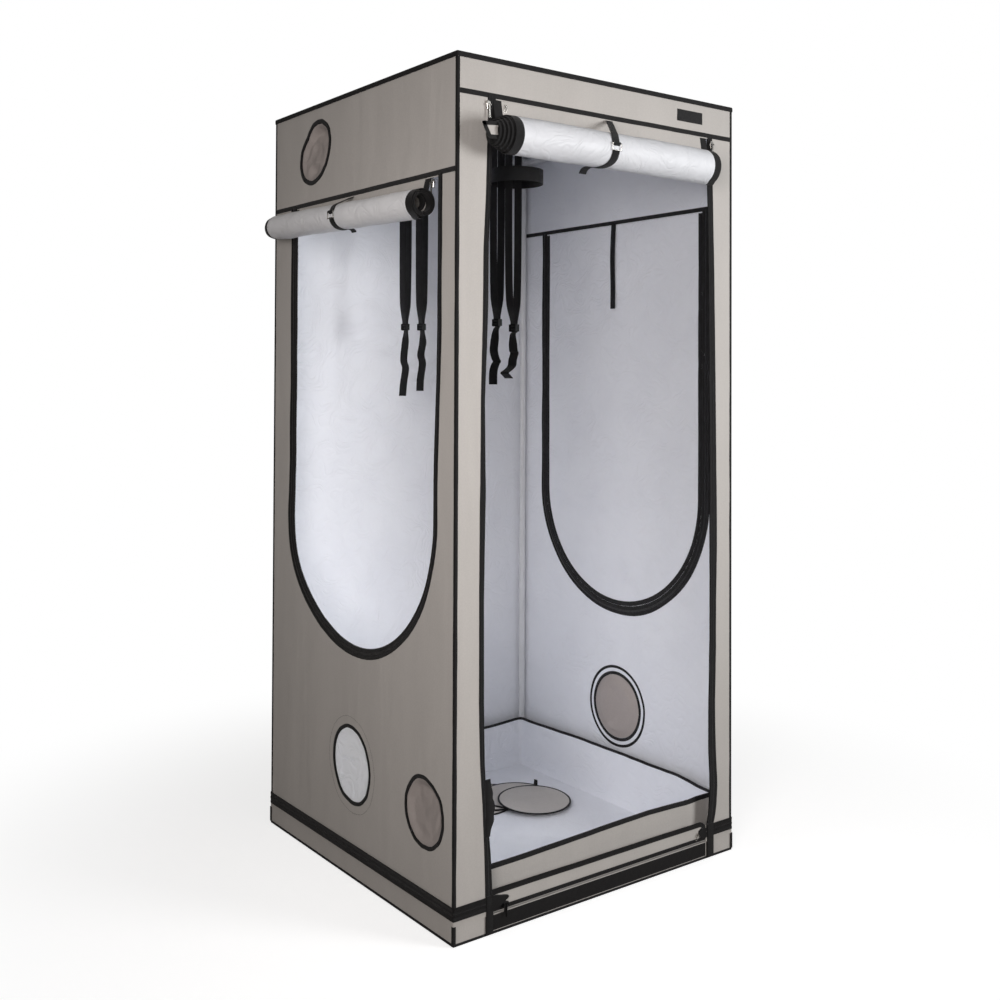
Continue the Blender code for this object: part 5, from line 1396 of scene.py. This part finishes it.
def lip_lift(x, y):
    """How far the tray's lip stands above or below its level at a place."""
    front, right = smooth_step(-y, 0.3, 0.46), smooth_step(x, 0.3, 0.46)
    places, rises = zip((-0.42, -0.0106), (-0.25, -0.008), (-0.05, -0.0025), (0.06, 0.0017),
                        (0.2, 0.005), (0.29, 0.0025), (0.36, -0.0006), (0.44, 0.001))
    rise = float(np.interp(x, places, rises))
    return front * rise + right * (1 - front) * 0.0145 * (1 - 0.6 * smooth_step(y, 0.1, 0.46))


def tray_point(x, y, height, z):
    """Place of a point of the tray once its sides lean and sag."""
    share = smooth_step(z, 0.02, 0.15)
    bend = 0.5 + 0.5 * ripple(x * 5.5, y * 5.5, 4.0) + 0.35 * ripple(x * 19, y * 19, z * 14)
    side = (x / abs(x) if abs(x) > abs(y) else 0.0, y / abs(y) if abs(y) >= abs(x) else 0.0)
    corner = 1 - smooth_step(min(abs(x), abs(y)), 0.40, 0.45)
    inward = 0.0042 * bend * share * corner
    if y < -0.44 and x > 0.3:
        beyond = (x + 1.056 * height - 0.5247) / 1.454
        reach = smooth_step(height, 0.07, 0.1) * (1 - smooth_step(x, 0.44, 0.46))
        inward += reach * (0.16 * min(max(0.0, beyond), 0.03) + 0.0022 * max(0.0, 1 - abs(beyond) / 0.006))
    return x - side[0] * inward, y - side[1] * inward, height + share * (lip_lift(x, y) - 0.001 * corner * bend)


def make_tray():
    """Spill tray: white inside, canvas outside, with a black bound lip."""
    inner = [(-0.0452, 0.0043), (-0.0425, 0.0052), (-0.0414, 0.008), (-0.0412, 0.0392)]
    lip = [
        (-0.0371, 0.1582), (-0.0371, 0.1655), (-0.036, 0.1663), (-0.0336, 0.1663), (-0.0325, 0.1655),
        (-0.0325, 0.1533),
        (-0.0343, 0.1525),
    ]
    outer = [(-0.0392, 0.0392), (-0.0392, 0.008), (-0.0398, 0.0035), (-0.042, 0.0024), (-0.0452, 0.0023)]

    def between(start, end, count=13):
        steps = range(1, count)
        return [tuple(a + (b - a) * k / count for a, b in zip(start, end)) for k in steps]

    up = between(inner[-1], (-0.0363, 0.152))
    rings = inner + up + [(-0.0363, 0.1576)] + lip + between(lip[-1], outer[0]) + outer
    lip_start = len(inner) + len(up)
    lip_end = lip_start + len(lip)
    rows = []
    for offset, z in rings:
        line = ring_line(offset, z, 0.0185 + offset + 0.0325, step=0.01)
        rows.append([tray_point(x, y, height, z) for x, y, height in line])
    shell = Shell()
    shell.skin(rows, finish=lambda i, j: 0 if i < lip_start else 2 if i < lip_end else 1)
    # The floor's two faces: lining above, canvas below
    shell.finishes[-2:] = [0, 1]
    piece = shell.piece("tray", [LINING, CANVAS, BINDING], "tray", "lining", 50, "spill_tray")


def make_covers():
    """Four loose port covers with bound rims and a small tab each."""
    radius, rim, cloth = 0.12, 0.002, 0.0008
    inner = radius - 0.006
    upper = [
        (radius, rim * 0.5), (radius - 0.0014, rim), (inner + 0.0012, rim), (inner, rim * 0.8),
        (inner - 0.0003, cloth), (0.08, cloth), (0.04, cloth), (0.0003, cloth),
    ]
    profile = [(r, -h) for r, h in reversed(upper)] + upper
    tab_steps = ((-0.004, 0.0008), (0.0012, 0.0022), (0.0032, 0.008), (0.0042, 0.0165))
    tab_path = [(radius + reach, high) for reach, high in tab_steps]
    facets = 96
    # Name, place, tilt about X and direction of the tab, in degrees
    spots = (("a", (0.104, 0.24, 0.0066), 0.0, 150), ("b", (0.168, 0.242, 0.0109), 0.0, 100),
             ("c", (0.235, 0.197, 0.0152), 0.0, 20), ("d", (0.2515, 0.121, 0.019912), 2.1, 49))
    for number, (name, spot, tilt, tab) in enumerate(spots):
        shell = Shell()
        rows = []
        for step in range(facets):
            angle = tau * step / facets
            row = []
            for r, h in profile:
                soft = 0.00045 * ripple(cos(angle) * r * 16, sin(angle) * r * 16, number * 3.0) if r < inner else 0.0
                row.append((r * cos(angle), r * sin(angle), h + soft))
            rows.append(row)
        shell.skin(rows, ring=True, finish=lambda i, j: 1 if 3 <= j <= 11 else 0)

        def place(out, up, along):
            return (*turned(out, along, radians(tab)), up)
        shell.skin(strap_rows(smooth_path(tab_path, 4), -0.0058, 0.0058, 0.0014, place), finish=lambda i, j: 1)
        seat = Matrix.Translation(spot) @ Matrix.Rotation(radians(tilt), 4, "X")
        shell.points = [tuple(seat @ Vector(point)) for point in shell.points]
        body = f"cover_{name}"
        piece = shell.piece(body, [CANVAS, BINDING], body, "cover_cloth", 50, f"port_{body}")


# ---------------------------------------------------------------- small fittings

def slider(name, body, origin, out, up, along, size=1.0):
    """Small zip slider: wedge body, bridge and a wire pull that hangs from it."""
    origin, out, up, along = (Vector(v) for v in (origin, out, up, along))
    shell = Shell()

    def place(u, v, w):
        return origin + along * (u * size) + up * (v * size) + out * (w * size)
    half = [(0.0028, -0.0055), (0.0045, -0.001), (0.0042, 0.0045), (0.0015, 0.0056)]
    outline = [(-0.0028, -0.0055)] + half + [(0.0, 0.0042)] + [(-u, v) for u, v in half[:0:-1]]
    plate(shell, outline, 0.0, 0.0026, place)
    bridge = (
        (-0.0045, 0.0022), (-0.0042, 0.0042), (-0.002, 0.0056), (0.001, 0.0056), (0.0036, 0.0042), (0.0042, 0.0022),
    )
    wire(shell, [place(0.0, v, w) for v, w in bridge], 0.0008 * size)
    loop = []
    points = 20
    for index in range(points):
        angle = tau * index / points
        reach = 0.0085 + 0.0075 * cos(angle)
        half_width = 0.0024 + 0.0012 * smooth_step(reach, 0.002, 0.012)
        loop.append(place(half_width * sin(angle), 0.001 - reach, 0.0049 - 0.08 * reach))
    wire(shell, loop, 0.0007 * size, closed=True)
    shell.piece(name, [NICKEL], body, "nickel", smooth=50)


def on_front_wall(u, v, out):
    """Place on the front wall, some way out of it."""
    return on_wall("front", u, v, out)


def make_label():
    """Bare label patch on the header: a plate with a raised field."""
    shell = Shell()
    left, bottom, right, top = 0.271, 2.138, 0.374, 2.172
    for inset, low, high in ((0.0, -0.0004, 0.0009), (0.0022, 0.0008, 0.0013)):
        corners = rectangle(left + inset, bottom + inset, right - inset, top - inset)
        plate(shell, stepped(corners, 0.012, closed=True), low, high, on_front_wall, inset=0.012)
    shell.piece("label_patch", [LABEL], "tent", "webbing", smooth=30)


def make_door_corner():
    """Corner of the front door that hangs out of its roll, with a bound edge."""
    face = -0.5862
    path = smooth_path([(-0.425, 2.024), (-0.452, 2.0215), (-0.4835, 2.0178), (-0.4862, 2.0135),
                        (-0.4745, 1.992), (-0.466, 1.9795), (-0.45, 1.9785), (-0.425, 1.981)], 5)
    width, depth = 0.0098, 0.0026
    section = ((0.0, 0.0), (0.0, depth), (width, depth), (width, 0.0))
    tape = Shell()
    rows = []
    for index, (x, z) in enumerate(path):
        before, after = path[max(0, index - 1)], path[min(len(path) - 1, index + 1)]
        way = Vector((after[0] - before[0], after[1] - before[1])).normalized()
        rows.append([(x - way.y * reach, face - out, z + way.x * reach) for reach, out in section])
    tape.skin(rows)
    tape.piece("front_door_corner_tape", [BINDING], "front_roll", "webbing", smooth=50)
    cloth = Shell()
    plate(cloth, stepped(path, 0.01), 0.0006, 0.0018, lambda x, z, out: (x, face - out, z), inset=0.03)
    cloth.piece("front_door_corner", [CANVAS], "front_roll", "cover_cloth", smooth=50)


def make_tape_end():
    """Loose end of the front zip's tape, a soft lump at the foot of the left column."""
    x = -DOOR_HALF
    edge = [(0.245, 0.0), (0.262, 0.004), (0.282, 0.0125), (0.298, 0.0115), (0.31, 0.0145),
            (0.326, 0.0135), (0.338, 0.0082), (0.352, 0.009), (0.368, 0.0042), (0.388, 0.0005)]
    rows = []
    for z, reach in smooth_path(edge, 4):
        puff = 0.0022 + 0.18 * reach
        section = [
            (x - 0.014, 0.0), (x - 0.012, puff * 0.7), (x - 0.002, puff), (x + reach * 0.7, puff * 0.8),
            (x + reach + 0.0006, 0.0003), (x + reach * 0.7, -puff * 0.5), (x - 0.001, -0.0012), (x - 0.012, -0.0006),
        ]
        rows.append([on_front_wall(u, z, out) for u, out in section])
    shell = Shell()
    shell.skin(rows)
    shell.piece("front_zip_tape_end", [BINDING], "tent", "webbing", smooth=60)


def make_still_sliders():
    """Sliders that stay where they are, each with its place, its three directions and its size."""
    face = -HALF - 0.0022
    slider("front_zip_second_slider", "tent", (-0.352, face, 2.0855), (0, -1, 0), (0.3, 0, 0.95), (0.95, 0, -0.3))
    slider("left_zip_back_slider", "tent", (face, 0.381, 1.897), (-1, 0, 0), (0, 0, 1), (0, -1, 0), 0.95)
    slider("sill_zip_end_slider", "tent", (0.3555, face, 0.075), (0, -1, 0), (0.7, 0, 0.7), (0.7, 0, -0.7), 1.05)


def make_sill_ends():
    """Pull tab of the sill's slider and the flap over the zip's end."""
    tab = smooth_path([(0.0735, 0.0066), (0.066, 0.0092), (0.055, 0.0078), (0.0445, 0.0066)], 5)
    strap_piece("sill_pull_tab", tab, -0.3505, -0.3395, 0.0014, lambda z, out, x: (x, -HALF - out, z),
                "sill_slider", cloth=BINDING)
    end = Shell()
    flap = [(0.3905, 0.0605), (0.374, 0.0625), (0.3605, 0.0725), (0.3625, 0.0865), (0.374, 0.0925), (0.3905, 0.0885)]
    plate(end, flap, -0.0004, 0.0046, on_front_wall)
    end.piece("sill_zip_end_flap", [BINDING], "tent", "webbing", smooth=50)


# ---------------------------------------------------------------- studio

ROOM_LEVEL = 0.12
ROOM_COLOUR = (1.0, 0.975, 0.94, 1.0)
LAMPS = (
    ("right_lamp", (1.8, -3.3, 1.8), (0.0, -0.5, 1.6), 1.5, 115, 33.0, (0.978, 0.99, 1.0)),
    ("left_lamp", (-2.5, -2.3, 1.65), (-0.35, -0.3, 1.35), 1.5, 100, 16.3, (1.0, 0.957, 0.94)),
    ("inner_fill", (-0.27, -0.34, 0.6), (0.3, 0.45, 0.35), 0.28, 170, 0.75, (0.99, 0.99, 1.0)),
)
FLOOR_TONES = ((0.3, (0.80, 0.80, 0.805)), (0.7, (0.83, 0.83, 0.83)))
FLOOR_BOUNCE = (0.3, 0.285, 0.27, 1.0)
FLOOR_GLOW = 0.66
FADE_START, FADE_END = 0.7, 2.0


def make_floor():
    """Plain pale floor that turns to plain white away from the tent."""
    mesh = bpy.data.meshes.new("floor")
    work = bmesh.new()
    bmesh.ops.create_grid(work, x_segments=12, y_segments=12, size=14.0)
    work.to_mesh(mesh)
    work.free()
    nodes = Nodes("floor")
    tree = nodes.tree
    path = nodes.add("LightPath")
    seen = nodes.math("MAXIMUM", path.outputs["Is Camera Ray"], path.outputs["Is Transmission Ray"])
    distance = nodes.add("VectorMath", {"operation": "LENGTH"}, _0=nodes.place_in_space()).outputs["Value"]
    fade = {"_1": FADE_START, "_2": FADE_END, "_3": 0.0, "_4": 1.0}
    far = nodes.add("MapRange", {"interpolation_type": "SMOOTHSTEP"}, Value=distance, **fade).outputs[0]
    grain = nodes.noise(nodes.place_in_space(), 30.0, 4.0)
    tone = nodes.mix(seen, FLOOR_BOUNCE, nodes.ramp(grain, FLOOR_TONES))
    nodes.finish(Base_Color=tone, Roughness=0.9, Specular_IOR_Level=0.2)
    glow = nodes.add("Emission", Color=(1, 1, 1, 1), Strength=FLOOR_GLOW).outputs[0]
    shine = nodes.add("AddShader", _0=nodes.shader.outputs[0], _1=glow).outputs[0]
    plain = nodes.add("Emission", Color=(1, 1, 1, 1), Strength=1.0).outputs[0]
    white = nodes.add("MixShader", _0=far, _1=shine, _2=plain).outputs[0]
    both = nodes.add("MixShader", _0=seen, _1=nodes.shader.outputs[0], _2=white).outputs[0]
    tree.links.new(both, tree.nodes["Material Output"].inputs["Surface"])
    mesh.materials.append(nodes.material)
    floor = bpy.data.objects.new("floor", mesh)
    floor.location = (0, 0, -0.0004)
    bpy.context.scene.collection.objects.link(floor)
    floor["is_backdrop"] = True


def make_light():
    """Soft studio light: a dim even room and two large lamps to the right and left of the camera."""
    world = bpy.data.worlds.new("studio")
    bpy.context.scene.world = world
    world.use_nodes = True
    tree = world.node_tree
    tree.nodes.clear()
    path = tree.nodes.new("ShaderNodeLightPath")
    seen = tree.nodes.new("ShaderNodeMath")
    seen.operation = "MAXIMUM"
    tree.links.new(path.outputs["Is Camera Ray"], seen.inputs[0])
    tree.links.new(path.outputs["Is Transmission Ray"], seen.inputs[1])
    room = tree.nodes.new("ShaderNodeBackground")
    room.inputs["Color"].default_value = ROOM_COLOUR
    room.inputs["Strength"].default_value = ROOM_LEVEL
    plain = tree.nodes.new("ShaderNodeBackground")
    plain.inputs["Color"].default_value = (1, 1, 1, 1)
    mix = tree.nodes.new("ShaderNodeMixShader")
    tree.links.new(seen.outputs[0], mix.inputs[0])
    tree.links.new(room.outputs[0], mix.inputs[1])
    tree.links.new(plain.outputs[0], mix.inputs[2])
    output = tree.nodes.new("ShaderNodeOutputWorld")
    tree.links.new(mix.outputs[0], output.inputs["Surface"])
    for name, place, aim, size, spread, power, colour in LAMPS:
        data = bpy.data.lights.new(name, "AREA")
        data.shape = "DISK"
        data.size = size
        data.spread = radians(spread)
        data.energy = power
        data.color = colour
        lamp = bpy.data.objects.new(name, data)
        lamp.visible_camera = False
        way = Vector(aim) - Vector(place)
        lamp.matrix_world = Matrix.Translation(place) @ way.to_track_quat("-Z", "Y").to_matrix().to_4x4()
        bpy.context.scene.collection.objects.link(lamp)


make_camera()
make_front()
make_walls()
make_right_door()
make_tapes()
make_piping()
make_roof()
make_base()
make_zip_flap()
make_sill()
sleeve("sleeve_left_lower", "left", SIDE_PORT, "left_lower_port_sleeve", 1.7, [SHADED_SLEEVE, LINING])
sleeve("sleeve_left_upper", "left", HIGH_PORT, "left_upper_port_sleeve", 6.1, [SHADED_SLEEVE, LINING], 0.016, None, 2.4)
sleeve("sleeve_right", "right", MAIN_PORT, "right_port_sleeve", 9.4, [SHADED_SLEEVE, SHADED_SLEEVE])
sleeve("open_port_liner", "left", OPEN_PORT, None, 4.4, [CUFF, CUFF], 0.007, OPEN_PORT[1] + 0.012)
make_tubes()
dress_rigid_nodes()
make_rolls()
make_hanging_straps()
make_belt()
make_tie()
make_tray()
make_covers()
make_label()
make_door_corner()
make_tape_end()
make_still_sliders()
make_sill_ends()
make_floor()
make_light()
bpy.context.scene.view_settings.view_transform = "Standard"
boxes = {"cad": CAD_BOX, "visual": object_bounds()}
{name: [[float(value) for value in corner] for corner in pair] for name, pair in boxes.items()}
